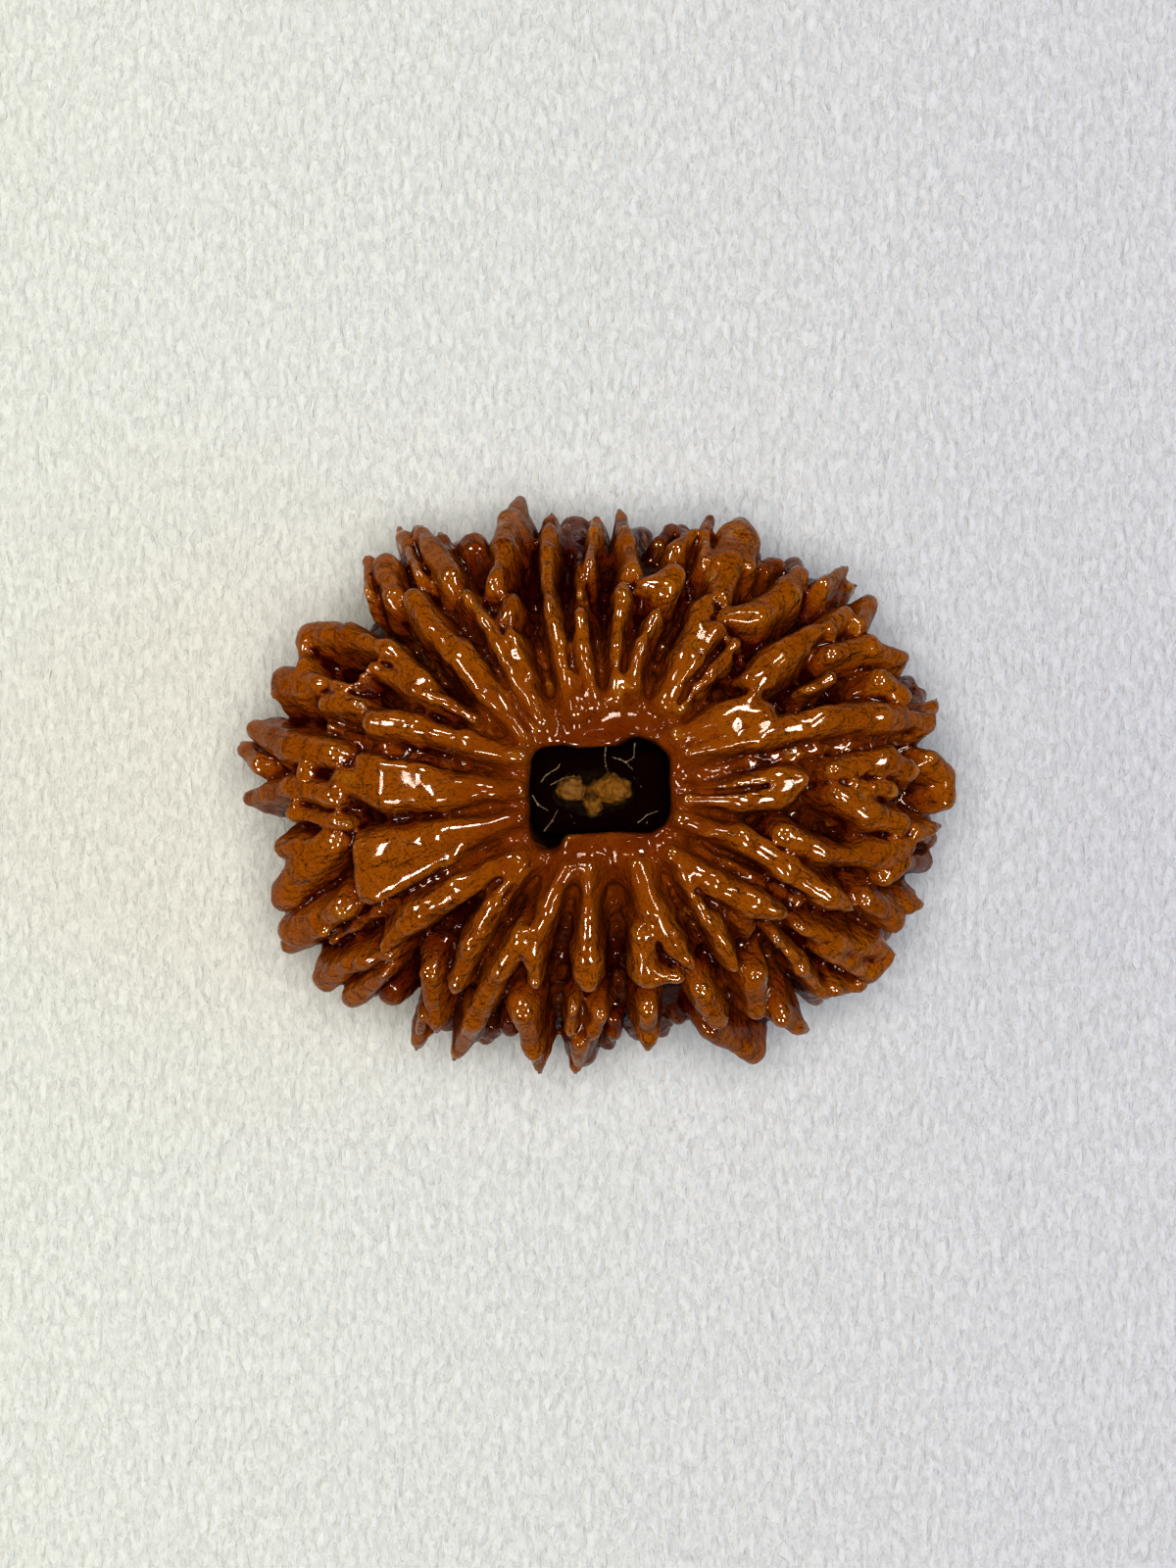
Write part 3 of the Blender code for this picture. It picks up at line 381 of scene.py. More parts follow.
def round_side(tip, under_tip, draw):
    """A rib with a knob on it, down the side from a crown tip to the tip below."""
    (top, top_width), (bottom, bottom_width) = tip, under_tip
    x, y, z = (top + bottom) / 2
    x += draw.uniform(-SIDE_SHIFT, SIDE_SHIFT)
    y += draw.uniform(-SIDE_SHIFT, SIDE_SHIFT)
    knob = on_side(x, y, z + draw.uniform(-KNOB_RISE, KNOB_RISE), draw.uniform(*KNOB_REACH))
    knob_width = draw.uniform(*KNOB_WIDTH)
    return [(RIB_TOP * top, RIB_TOP_WIDTH * top_width), (knob, knob_width), (RIB_FOOT * bottom, bottom_width)]


def hidden_limbs():
    """Ridges of the underside, and the ribs that join them to the crown's."""
    draw = random.Random(SEED)
    limbs = []
    for drop, limb in [*((0.0, limb) for limb in CROWN_RIDGES), *SUNK_THORNS]:
        under = turned_over(pointed(limb), draw)
        limbs.append(under)
        tip = raised(limb, drop)[-1]
        if tip[0][2] < SIDE_TIP_BELOW:
            limbs.append(round_side(tip, under[-1], draw))
    return limbs


def grid_round(low, high, cell):
    """Axes of a box of sample points, with a margin of empty cells."""
    return [np.arange(a - 3 * cell, b + 3.5 * cell, cell, np.float32) for a, b in zip(low, high)]


def window(axes, low, high):
    """Slices of the grid that a box covers, and their coordinates ready to broadcast."""
    spans = [slice(*np.searchsorted(axis, (a, b))) for axis, a, b in zip(axes, low, high)]
    xyz = np.ix_(*(axis[span] for axis, span in zip(axes, spans)))
    return tuple(spans), xyz


def melt(first, second, fillet):
    """Union of two distance fields with a rounded inner corner."""
    share = np.clip(0.5 + 0.5 * (first - second) / fillet, 0, 1)
    return first + (second - first) * share - fillet * share * (1 - share)


def carve(stone, hole, fillet):
    """A hole taken out of a distance field, its mouth rounded over."""
    return -melt(-stone, hole, fillet)


def ellipsoid(xyz, centre, half):
    """Distance to an ellipsoid, near enough at its surface."""
    parts = [(v - np.float32(c)) / np.float32(h) for v, c, h in zip(xyz, centre, half)]
    reach = np.sqrt(sum(p * p for p in parts))
    slope = np.sqrt(sum((p / np.float32(h)) ** 2 for p, h in zip(parts, half)))
    return reach * (reach - 1) / np.maximum(slope, np.float32(1e-6))


def limb_distance(xyz, start, end, stretch, crested=False):
    """Distance to a tapering limb with walls to the body, and a narrower crest if it has one."""
    (p, p_width), (q, q_width) = start, end
    along = q - p
    length = max(float(along @ along), 1e-9)
    outward = (p + q) / BODY_HALF**2
    outward /= np.linalg.norm(outward)
    offset = [v - np.float32(c) for v, c in zip(xyz, p)]
    share = sum(o * np.float32(a / length) for o, a in zip(offset, along))
    share = np.clip(share, 0, 1)
    offset = [o - np.float32(a) * share for o, a in zip(offset, along)]
    width = p_width + share * np.float32(q_width - p_width)
    lift = sum(o * np.float32(n) for o, n in zip(offset, outward))
    depth = np.maximum(-lift, 0)
    proud = np.maximum(lift, 0)
    across = sum(o * o for o in offset) - lift * lift
    if crested:
        crest = crest_half(width)
        flatter = np.float32(outward[2] ** 2) * np.maximum(crest / np.float32(CREST_RISE) - 1, 0)
        proud = proud * (1 + flatter)
        spread = width + np.float32(FLANK_SPREAD) - crest
        width = crest + spread * np.minimum(depth / np.float32(FLANK_DEPTH), 1)
    square = across + proud * proud + depth * depth / np.float32(stretch**2)
    return np.sqrt(np.maximum(square, 0)) - width


def add_limbs(stone, axes, limbs):
    for limb in limbs:
        for start, end in zip(limb, limb[1:]):
            width = FLANK_SPREAD + max(start[1], end[1])
            inward = -(start[0] + end[0]) / BODY_HALF**2
            inward *= WALL_STRETCH * width / np.linalg.norm(inward)
            marks = np.array((start[0], end[0], start[0] + inward, end[0] + inward))
            low, high = marks.min(axis=0) - width - FILLET, marks.max(axis=0) + width + FILLET
            spans, xyz = window(axes, low, high)
            limb_field = limb_distance(xyz, start, end, WALL_STRETCH, crested=True)
            stone[spans] = melt(stone[spans], limb_field, np.float32(FILLET))


def cut_valleys(stone, axes, valleys, stretch):
    """Valleys cut down from the crests, this many times as deep as they are half wide."""
    for valley in valleys:
        points = [(np.array((x, y, crest_height(x, y))), width) for x, y, width in valley]
        for start, end in zip(points, points[1:]):
            low = np.minimum(start[0], end[0]) - CUT_ROOM
            high = np.maximum(start[0], end[0]) + CUT_ROOM
            spans, xyz = window(axes, low - (0, 0, CUT_ROOM), high)
            cut = limb_distance(xyz, start, end, stretch)
            stone[spans] = carve(stone[spans], cut, np.float32(FILLET))


def score_crease(stone, axes, crease):
    """A fine line cut along the crests."""
    points = [np.array((x, y, crest_height(x, y))) for x, y in crease]
    for start, end in zip(points, points[1:]):
        low, high = np.minimum(start, end) - CREASE_ROOM, np.maximum(start, end) + CREASE_ROOM
        spans, xyz = window(axes, low - (0, 0, CUT_ROOM), high)
        line = limb_distance(xyz, (start, CREASE_WIDTH), (end, CREASE_WIDTH), CREASE_STRETCH)
        stone[spans] = carve(stone[spans], line, CREASE_FILLET)


def rounded_slot(xyz, middle, half, corner, floor):
    """An upright shaft with rounded corners that runs down to a floor."""
    across = [np.abs(v - m) - (h - corner) for v, m, h in zip(xyz, middle, half)]
    outside = np.sqrt(sum(np.maximum(a, 0) ** 2 for a in across))
    wall = outside + np.minimum(np.maximum(*across), 0) - corner
    return np.maximum(wall, floor - xyz[2])


def pebbled(axes, spacing, height, seed):
    """Smooth seeded bumps over a grid, as a field of heights."""
    draw = np.random.default_rng(seed)
    blends = []
    for axis in axes:
        at = (axis - axis[0]) / spacing
        low = at.astype(int)
        ease = at - low
        ease = ease * ease * (3 - 2 * ease)
        blend = np.zeros((len(axis), low[-1] + 2), np.float32)
        rows = np.arange(len(axis))
        blend[rows, low] = 1 - ease
        blend[rows, low + 1] = ease
        blends.append(blend)
    knots = draw.uniform(-1, 1, [blend.shape[1] for blend in blends]).astype(np.float32)
    field = np.tensordot(blends[0], knots, (1, 0))
    field = np.einsum("bj,ijk->ibk", blends[1], field, optimize=True)
    return height * (field @ blends[2].T)


def sunkenness(xyz):
    """How far, in millimetres, each point lies below the surface that the crests reach."""
    halves = (LENGTH / 2, BREADTH / 2, HALF_HEIGHT)
    share = sum(np.abs(v / h) ** np.float32(BOXINESS) for v, h in zip(xyz, halves))
    return (1 - share ** np.float32(1 / BOXINESS)) * HALF_HEIGHT


def stone_field(cell):
    """Distance field of the whole stone with its relief, and the grid that it is sampled on."""
    half = np.array((LENGTH / 2, BREADTH / 2, HALF_HEIGHT)) + GRID_MARGIN
    axes = grid_round(-half, half, cell)
    xyz = np.ix_(*axes)
    stone = ellipsoid(xyz, (0, 0, 0), BODY_HALF)
    add_limbs(stone, axes, hidden_limbs())
    add_limbs(stone, axes, [raised(pointed(limb)) for limb in CROWN_RIDGES])
    add_limbs(stone, axes, [raised(pointed(limb), drop) for drop, limb in SUNK_THORNS])
    cut_valleys(stone, axes, CLEFTS, CLEFT_STRETCH)
    cut_valleys(stone, axes, PITS, PIT_STRETCH)
    add_limbs(stone, axes, [raised(limb, SEAM_DEPTH) for limb in CLEFT_SEAMS])
    collar = (0, 0, COLLAR_TOP - COLLAR_HALF[2])
    stone = melt(stone, ellipsoid(xyz, collar, COLLAR_HALF), COLLAR_FILLET)
    lower_collar = (0, 0, LOWER_COLLAR_END + LOWER_COLLAR_HALF[2])
    stone = melt(stone, ellipsoid(xyz, lower_collar, LOWER_COLLAR_HALF), LOWER_COLLAR_FILLET)
    for crease in CREASES:
        score_crease(stone, axes, crease)
    shaft = rounded_slot(xyz, SOCKET_MIDDLE, SOCKET_HALF, SOCKET_CORNER, SOCKET_FLOOR)
    stone = carve(stone, shaft, SOCKET_FILLET)
    for (x0, y0, r0), (x1, y1, r1) in SOCKET_NOTCHES:
        ends = (np.array((x0, y0, NOTCH_TOP)), r0), (np.array((x1, y1, NOTCH_END)), r1)
        stone = carve(stone, limb_distance(xyz, *ends, stretch=1.0), SOCKET_FILLET)
    lower = (0, 0, FOOT_LEVEL)
    lower_socket = (LOWER_SOCKET_RADIUS, LOWER_SOCKET_RADIUS, LOWER_SOCKET_DEPTH)
    stone = carve(stone, ellipsoid(xyz, lower, lower_socket), LOWER_SOCKET_FILLET)
    grit = np.clip((sunkenness(xyz) - GRIT_STARTS) / (GRIT_FULL - GRIT_STARTS), 0, 1)
    past_collar = np.clip((np.hypot(xyz[0], xyz[1]) - COLLAR_HALF[0]) / PAST_COLLAR, 0, 1)
    past_collar = past_collar.astype(np.float32)
    stone += pebbled(axes, *SWELL) + pebbled(axes, *LUMPS)
    stone += past_collar * pebbled(axes, *POCKS) + grit * pebbled(axes, *CLEFT_GRIT)
    return np.maximum(stone, FOOT_LEVEL - xyz[2]), axes


def corner_of_cells(shape, corner):
    """Slices that pick this corner of every cell; None takes the axis whole."""
    return tuple(slice(None) if c is None else slice(c, n - 1 + c) for c, n in zip(corner, shape))


def cell_count(solid):
    """How many of each cell's eight corners are solid."""
    corners = product((0, 1), repeat=3)
    return sum(solid[corner_of_cells(solid.shape, corner)].astype(np.int8) for corner in corners)


def pinched(solid):
    """Corners to fill where two parts of the surface would meet at an edge or a point only."""
    fill = np.zeros_like(solid)
    for axis in range(3):
        ends = [[u, v] for u, v in ((0, 0), (0, 1), (1, 0), (1, 1))]
        for end in ends:
            end.insert(axis, None)
        where = [corner_of_cells(solid.shape, end) for end in ends]
        a, b, c, d = (solid[at] for at in where)
        fill[where[1]] |= a & d & ~b & ~c
        fill[where[0]] |= b & c & ~a & ~d
    count = cell_count(solid)
    for j, k in product((0, 1), repeat=2):
        here = corner_of_cells(solid.shape, (0, j, k))
        beside = corner_of_cells(solid.shape, (1, j, k))
        opposite = corner_of_cells(solid.shape, (1, 1 - j, 1 - k))
        fill[beside] |= solid[here] & solid[opposite] & (count == 2)
        fill[here] |= ~solid[here] & ~solid[opposite] & (count == 6)
    return fill


def close_pinches(field, most_rounds=30):
    for _ in range(most_rounds):
        fill = pinched(field < 0)
        if not fill.any():
            break
        field = np.where(fill, JUST_SOLID, field)
    return field


def close_hollows(field):
    """Makes solid whatever air is shut in, so that the surface is one skin."""
    air = field >= 0
    open_air = np.zeros_like(air)
    open_air[0, 0, 0] = True
    size = 0
    while open_air.sum() > size:
        size = open_air.sum()
        for axis in range(3):
            found, way = np.moveaxis(open_air, axis, 0), np.moveaxis(air, axis, 0)
            for i in range(1, len(found)):
                found[i] |= found[i - 1] & way[i]
            for i in range(len(found) - 2, -1, -1):
                found[i] |= found[i + 1] & way[i]
    return np.where(air & ~open_air, JUST_SOLID, field)


def skin(field, axes):
    """Points and four-sided faces of the surface where a distance field is zero."""
    solid = field < 0
    count = cell_count(solid)
    active = (count > 0) & (count < 8)
    number = np.full(active.shape, -1, np.int64)
    number[active] = np.arange(active.sum())
    cells = np.argwhere(active)
    total = np.zeros((len(cells), 3))
    crossings = np.zeros((len(cells), 1))
    for axis in range(3):
        step = np.eye(3, dtype=int)[axis]
        for offset in product((0, 1), repeat=3):
            if offset[axis]:
                continue
            near = cells + offset
            far = near + step
            a, b = field[tuple(near.T)], field[tuple(far.T)]
            crossing = ((a < 0) != (b < 0))[:, None]
            share = (a / np.where(a == b, 1, a - b))[:, None]
            total += np.where(crossing, offset + share * step, 0)
            crossings += crossing
    start = np.array([axis[0] for axis in axes])
    cell = axes[0][1] - axes[0][0]
    points = start + cell * (cells + total / crossings)
    faces = []
    for axis in range(3):
        u, v = (np.eye(3, dtype=int)[(axis + turn) % 3] for turn in (1, 2))
        step = np.eye(3, dtype=int)[axis]
        ends = [slice(1, n - 1) for n in field.shape]
        ends[axis] = slice(0, field.shape[axis] - 1)
        others = [slice(e.start + s, e.stop + s) for e, s in zip(ends, step)]
        here, there = solid[tuple(ends)], solid[tuple(others)]
        corner = np.argwhere(here != there) + [e.start for e in ends]
        ring = [number[tuple((corner - back).T)] for back in (0 * u, u, u + v, v)]
        quads = np.stack(ring, axis=1)
        outward = solid[tuple(corner.T)]
        faces.append(np.where(outward[:, None], quads, quads[:, ::-1]))
    return points, np.concatenate(faces)


def grown_piece(name, field, axes, triangles):
    """An object whose mesh is the field's skin, thinned where it has more triangles than this."""
    points, faces = skin(close_hollows(close_pinches(field)), axes)
    points -= (*MIDDLE, FOOT_LEVEL)
    dense = bpy.data.meshes.new(name)
    dense.vertices.add(len(points))
    dense.vertices.foreach_set("co", (points * MM).astype(np.float32).ravel())
    dense.loops.add(faces.size)
    dense.loops.foreach_set("vertex_index", faces.astype(np.int32).ravel())
    dense.polygons.add(len(faces))
    dense.polygons.foreach_set("loop_start", np.arange(0, faces.size, 4, dtype=np.int32))
    dense.update(calc_edges=True)
    piece = bpy.data.objects.new(name, dense)
    scene.collection.objects.link(piece)
    thin = piece.modifiers.new("Thin out", "DECIMATE")
    thin.ratio = min(triangles / (2 * len(faces)), 1.0)
    thinned = piece.evaluated_get(bpy.context.evaluated_depsgraph_get())
    piece.data = bpy.data.meshes.new_from_object(thinned)
    piece.modifiers.clear()
    bpy.data.meshes.remove(dense)
    places = np.empty(3 * len(piece.data.vertices), np.float32)
    piece.data.vertices.foreach_get("co", places)
    heights = places[2::3]
    heights[heights < FOOT_SNAP * MM] = 0.0
    piece.data.vertices.foreach_set("co", places)
    piece.data.shade_smooth()
    return piece


class Value:
    """A socket that a finish is worked out from. Sums on it add Math nodes."""

    def __init__(self, finish, socket):
        self.finish = finish
        self.socket = socket

    def maths(self, operation, *values):
        return self.finish.node("ShaderNodeMath", {"operation": operation}, dict(enumerate(values)))

    def __add__(self, other):
        return self.maths("ADD", self, other)

    def __radd__(self, other):
        return self.maths("ADD", other, self)

    def __sub__(self, other):
        return self.maths("SUBTRACT", self, other)

    def __rsub__(self, other):
        return self.maths("SUBTRACT", other, self)

    def __mul__(self, other):
        return self.maths("MULTIPLY", self, other)

    def __rmul__(self, other):
        return self.maths("MULTIPLY", other, self)

    def __truediv__(self, other):
        return self.maths("DIVIDE", self, other)

    def __pow__(self, other):
        return self.maths("POWER", self, other)

    def __abs__(self):
        return self.maths("ABSOLUTE", self)

    def between(self, low, high):
        """0 up to low, 1 from high, and a smooth rise from one to the other."""
        settings = {"interpolation_type": "SMOOTHSTEP"}
        sockets = {"Value": self, "From Min": low, "From Max": high}
        return self.finish.node("ShaderNodeMapRange", settings, sockets)


class Finish:
    """A material in the making, with one method for any node that isn't a sum."""

    def __init__(self, name):
        self.material = bpy.data.materials.new(name)
        self.material.use_nodes = True
        self.nodes = self.material.node_tree.nodes
        self.links = self.material.node_tree.links
        self.shader = self.nodes["Principled BSDF"]

    def fill(self, node, sockets):
        for key, value in sockets.items():
            if isinstance(value, Value):
                self.links.new(value.socket, node.inputs[key])
            else:
                node.inputs[key].default_value = value

    def node(self, kind, settings, sockets, out=0):
        node = self.nodes.new(kind)
        for key, value in settings.items():
            if key == "stops":
                self.set_stops(node.color_ramp.elements, value)
            else:
                setattr(node, key, value)
        self.fill(node, sockets)
        return Value(self, node.outputs[out])

    def set_stops(self, elements, stops):
        for place, colour in stops[2:]:
            elements.new(place)
        for element, (place, colour) in zip(elements, sorted(stops)):
            element.position = place
            element.color = (*colour, 1.0)

    def vector(self, operation, *values, out=0):
        settings = {"operation": operation}
        return self.node("ShaderNodeVectorMath", settings, dict(enumerate(values)), out)

    def noise(self, place, scale, detail=2.0, roughness=0.5, distortion=0.0):
        sockets = {"Vector": place, "Scale": scale, "Detail": detail}
        sockets |= {"Roughness": roughness, "Distortion": distortion}
        return self.node("ShaderNodeTexNoise", {}, sockets)

    def ramp(self, value, stops):
        return self.node("ShaderNodeValToRGB", {"stops": stops}, {0: value})

    def mix(self, share, first, second):
        return self.node("ShaderNodeMix", {"data_type": "RGBA"}, {0: share, 6: first, 7: second}, out=2)

    def bump(self, height, distance, under=None):
        sockets = {"Height": height, "Distance": distance}
        if under is not None:
            sockets["Normal"] = under
        return self.node("ShaderNodeBump", {}, sockets)


def below_crests(finish, place):
    """The depth of a place under the surface that the crests reach, as the mesh's relief has it."""
    axes = [finish.node("ShaderNodeSeparateXYZ", {}, {0: place}, out=n) for n in range(3)]
    middle = (-MIDDLE[0] * MM, -MIDDLE[1] * MM, -FOOT_LEVEL * MM)
    halves = (LENGTH / 2 * MM, BREADTH / 2 * MM, HALF_HEIGHT * MM)
    share = sum(abs((v - m) / h) ** BOXINESS for v, m, h in zip(axes, middle, halves))
    return (1 - share ** (1 / BOXINESS)) * HALF_HEIGHT


# Shades of the oiled stone, and how far below the crests they run, as a share of this depth
# The darkening down into the clefts is partly the stone's own colour and partly painted shade
CREST_ORANGE = (0.36, 0.092, 0.002)
CREST_RED = (0.24, 0.046, 0.001)
FLANK_BROWN = (0.125, 0.013, 0.0008)
CLEFT_BLACK = (0.036, 0.0012, 0.0004)
SHADES = [(0.05, CREST_ORANGE), (0.16, CREST_RED), (0.32, FLANK_BROWN), (0.50, CLEFT_BLACK)]
SHADES_DEPTH = 4.5
RUBBED_TAN = (0.50, 0.18, 0.006)
# Painted shade inside the socket
SOCKET_SHADE = (0.006, 0.001, 0.0005)

# Patterns on the stone: how fine they are to the metre, their octaves and roughness
SPOTTED_DEPTH = (700.0, 3.0)
WEAR = (1500.0, 4.0, 0.65)
BLOTCHES = (260.0, 4.0, 0.6)
RUBBED = (900.0, 5.0, 0.7)
PORES = (3600.0, 3.0, 0.6)
WAVES = (1300.0, 3.0, 0.55)
PITTING = (4200.0, 3.0, 0.6)
GRAIN = (1.0, 3.0, 0.6)
GRAIN_ACROSS = 20.0
GRAIN_ALONG = 420.0

# Heights of its relief, and where zones round the socket begin and end, all in metres
WAVE_HEIGHT = 0.0007
RIPPLE_HEIGHT = 0.0004
PITTING_HEIGHT = 0.00014
COLLAR_ENDS = (0.0045, 0.0090)
RIPPLES_BEGIN = (0.004, 0.010)
MOUTH_ENDS = (0.0030, 0.0058)
SOCKET_SHADE_ENDS = (0.0038, 0.0046)


class OiledStone(Finish):
    """The stone's finish, and the measures of a place on it that its colour, relief and oil share."""

    def __init__(self):
        super().__init__("oiled_stone")
        self.place = self.node("ShaderNodeTexCoord", {}, {}, out="Object")
        self.level = self.vector("MULTIPLY", self.place, (1.0, 1.0, 0.0))
        self.from_socket = self.vector("LENGTH", self.level, out=1)
        self.near_collar = 1 - self.from_socket.between(*COLLAR_ENDS)
        self.grain = self.noise(self.along_ridges(), *GRAIN)
        spotted = self.noise(self.place, *SPOTTED_DEPTH) - 0.5
        self.depth = below_crests(self, self.place) + spotted * 1.2
        self.edges = self.node("ShaderNodeNewGeometry", {}, {}, out="Pointiness") - 0.5
        self.worn = self.edges.between(0.01, 0.07)
        self.wear = self.noise(self.place, *WEAR)

    def along_ridges(self):
        """A place measured round and out from the socket, so that noise on it runs along the ridges."""
        outward = self.vector("NORMALIZE", self.level)
        reach = self.node("ShaderNodeCombineXYZ", {}, {2: self.from_socket * GRAIN_ALONG})
        return self.vector("MULTIPLY_ADD", outward, (GRAIN_ACROSS, GRAIN_ACROSS, 0.0), reach)

    def colour(self):
        """Orange crests, red collar, clefts darkened by colour and painted shade, painted shade in creases,
        round the mouth and in the socket, tan rubbed edges and dark pores.
        """
        # Painted shade: concave creases are darkened, and the ramp darkens the clefts below the crests
        crease_shade = (0 - self.edges).between(0.0, 0.05)
        shade = (self.depth + (self.grain - 0.5) * 1.6) / SHADES_DEPTH + crease_shade * 0.4
        colour = self.ramp(shade, SHADES)
        blotches = self.noise(self.place, *BLOTCHES).between(0.42, 0.68)
        colour = self.mix(blotches * 0.55 + self.near_collar * 0.6, colour, (*CREST_RED, 1.0))
        # Painted shade: a dark brown ring round the socket's mouth
        mouth = 1 - self.from_socket.between(*MOUTH_ENDS)
        colour = self.mix(mouth * (blotches * 0.5 + 0.25), colour, (*FLANK_BROWN, 1.0))
        rubbed = self.noise(self.place, *RUBBED).between(0.46, 0.66) * self.worn
        colour = self.mix(rubbed * 0.6, colour, (*RUBBED_TAN, 1.0))
        pores = self.noise(self.place, *PORES).between(0.56, 0.66)
        colour = self.mix(pores * 0.3, colour, (*CLEFT_BLACK, 1.0))
        # Painted shade: the socket's inside is painted near black
        socket_shade = self.depth.between(0.7, 1.8) * (1 - self.from_socket.between(*SOCKET_SHADE_ENDS))
        return self.mix(socket_shade, colour, (*SOCKET_SHADE, 1.0))

    def relief(self):
        """Waves that calm down by the collar, ripples along the ridges, and fine pitting."""
        swell = self.noise(self.place, *WAVES) * (1 - self.near_collar * 0.6)
        waves = self.bump(swell, WAVE_HEIGHT)
        along = self.grain * self.from_socket.between(*RIPPLES_BEGIN)
        ripples = self.bump(along, RIPPLE_HEIGHT, waves)
        return self.bump(self.noise(self.place, *PITTING), PITTING_HEIGHT, ripples)

    def oil(self):
        """How much oil shows: most on worn edges, least in the clefts and by the collar, and in patches."""
        held = 0.38 + self.worn * 0.62 - self.depth.between(1.0, 4.0) * 0.2 - self.near_collar * 0.18
        return held * (0.5 + self.wear.between(0.42, 0.54) * 0.5)


def oiled_stone():
    finish = OiledStone()
    finish.shader.inputs["Specular IOR Level"].default_value = 0.0
    finish.shader.inputs["Coat Roughness"].default_value = 0.08
    finish.shader.inputs["Coat IOR"].default_value = 1.5
    sockets = {
        "Base Color": finish.colour(),
        "Roughness": 0.3 + finish.wear * 0.2 + finish.depth.between(0.8, 3.0) * 0.2,
        "Coat Weight": finish.oil(),
        "Normal": finish.relief(),
    }
    finish.fill(finish.shader, sockets)
    return finish.material


stone = grown_piece("stone", *stone_field(STONE_CELL), STONE_TRIANGLES)
stone.data.materials.append(oiled_stone())
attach(stone, "root")
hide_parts("bead")


# The pith. Dried ochre fibres of the stalk stay behind at the bottom of the socket when the stone is
# cleaned: a crumbly mound in two lobes, and loose strands that cling to the walls above it.

PITH_CELL = 0.07
PITH_FLOOR = 4.9
PITH_SPAN = (3.6, 2.6)
PITH_TOP = 9.6
LUMP_FILLET = 0.3
STRAND_FILLET = 0.1
PITH_TRIANGLES = 40000
PITH_LUMPS = (
    ((-1.4, -0.05, 5.2), (0.9, 0.7, 1.0)),
    ((0.7, 0.0, 5.25), (1.0, 0.75, 1.0)),
    ((-0.35, -0.9, 5.0), (0.6, 0.6, 0.8)),
    ((-0.3, -0.2, 4.9), (2.1, 1.2, 0.6)),
)
PITH_CRUMBS = ((0.35, 0.14, 11), (0.16, 0.09, 12))
PITH_BROWN = (0.20, 0.07, 0.008)
PITH_OCHRE = (0.38, 0.165, 0.014)
FOOT_SHADE = (0.012, 0.004, 0.001)
STRAND_STRAW = (0.26, 0.16, 0.06)

# Strands from root to end: (x, y, z, half width)
PITH_STRANDS = (
    ((-3.0, 0.3, 7.6, 0.05), (-2.7, 0.7, 7.5, 0.04), (-2.2, 1.0, 7.4, 0.04), (-1.95, 1.3, 7.3, 0.04)),
    ((-2.5, 0.2, 7.0, 0.05), (-1.8, 0.55, 6.8, 0.04), (-1.3, 0.65, 6.4, 0.04), (-0.9, 0.4, 5.8, 0.05)),
    ((0.35, 2.5, 8.6, 0.06), (0.25, 1.7, 7.8, 0.05), (0.3, 1.15, 7.2, 0.04), (0.5, 0.6, 6.0, 0.05)),
    ((0.6, 1.6, 7.6, 0.04), (1.0, 1.5, 7.5, 0.04), (1.3, 1.35, 7.4, 0.04), (1.65, 0.95, 7.0, 0.04)),
    ((1.75, 2.3, 8.4, 0.06), (1.7, 1.6, 7.8, 0.04), (1.3, 1.35, 7.4, 0.04)),
    ((-2.1, -1.0, 6.6, 0.04), (-2.4, -1.6, 7.4, 0.05), (-2.8, -2.1, 8.4, 0.06)),
    ((-3.4, -0.3, 9.0, 0.05), (-3.1, -0.8, 8.8, 0.05), (-2.6, -1.1, 8.2, 0.04)),
    ((2.9, -1.1, 9.0, 0.05), (2.4, -1.3, 8.6, 0.04), (1.9, -1.7, 8.9, 0.05)),
)


def pith_field(cell):
    across, back = PITH_SPAN
    axes = grid_round((-across, -back, PITH_FLOOR), (across, back, PITH_TOP), cell)
    xyz = np.ix_(*axes)
    lumps = [ellipsoid(xyz, centre, half) for centre, half in PITH_LUMPS]
    pith = lumps[0]
    for lump in lumps[1:]:
        pith = melt(pith, lump, LUMP_FILLET)
    for crumbs in PITH_CRUMBS:
        pith = pith + pebbled(axes, *crumbs)
    for strand in PITH_STRANDS:
        points = [(np.array(point[:3]), point[3]) for point in strand]
        for start, end in zip(points, points[1:]):
            line = limb_distance(xyz, start, end, stretch=1.0)
            pith = melt(pith, line, np.float32(STRAND_FILLET))
    return np.maximum(pith, PITH_FLOOR - xyz[2]), axes


def dry_pith():
    """Ochre on the lumps, paler on the strands, with painted shade round their foot as dark as the socket."""
    finish = Finish("dry_pith")
    place = finish.node("ShaderNodeTexCoord", {}, {}, out="Object")
    stops = [(0.35, PITH_BROWN), (0.7, PITH_OCHRE)]
    colour = finish.ramp(finish.noise(place, 2600.0, 5.0, 0.7), stops)
    height = finish.node("ShaderNodeSeparateXYZ", {}, {0: place}, out=2) / MM + FOOT_LEVEL
    # Painted shade: the pith goes as dark as the socket round its foot
    low = 1 - (height + (finish.noise(place, 1600.0, 3.0) - 0.5) * 0.8).between(5.4, 5.9)
    colour = finish.mix(low, colour, (*FOOT_SHADE, 1.0))
    colour = finish.mix(height.between(6.3, 7.2), colour, (*STRAND_STRAW, 1.0))
    finish.shader.inputs["Roughness"].default_value = 0.7
    strands = finish.bump(finish.noise(place, 6000.0, 4.0, 0.7), 0.00008)
    finish.fill(finish.shader, {"Base Color": colour, "Normal": strands})
    return finish.material


pith = grown_piece("pith_mound", *pith_field(PITH_CELL), PITH_TRIANGLES)
pith.data.materials.append(dry_pith())
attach(pith, "root")
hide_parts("pith")


# The paper that the bead lies on. It is a sheet of heavy off-white paper with an embossed tooth. It
# isn't part of the object.

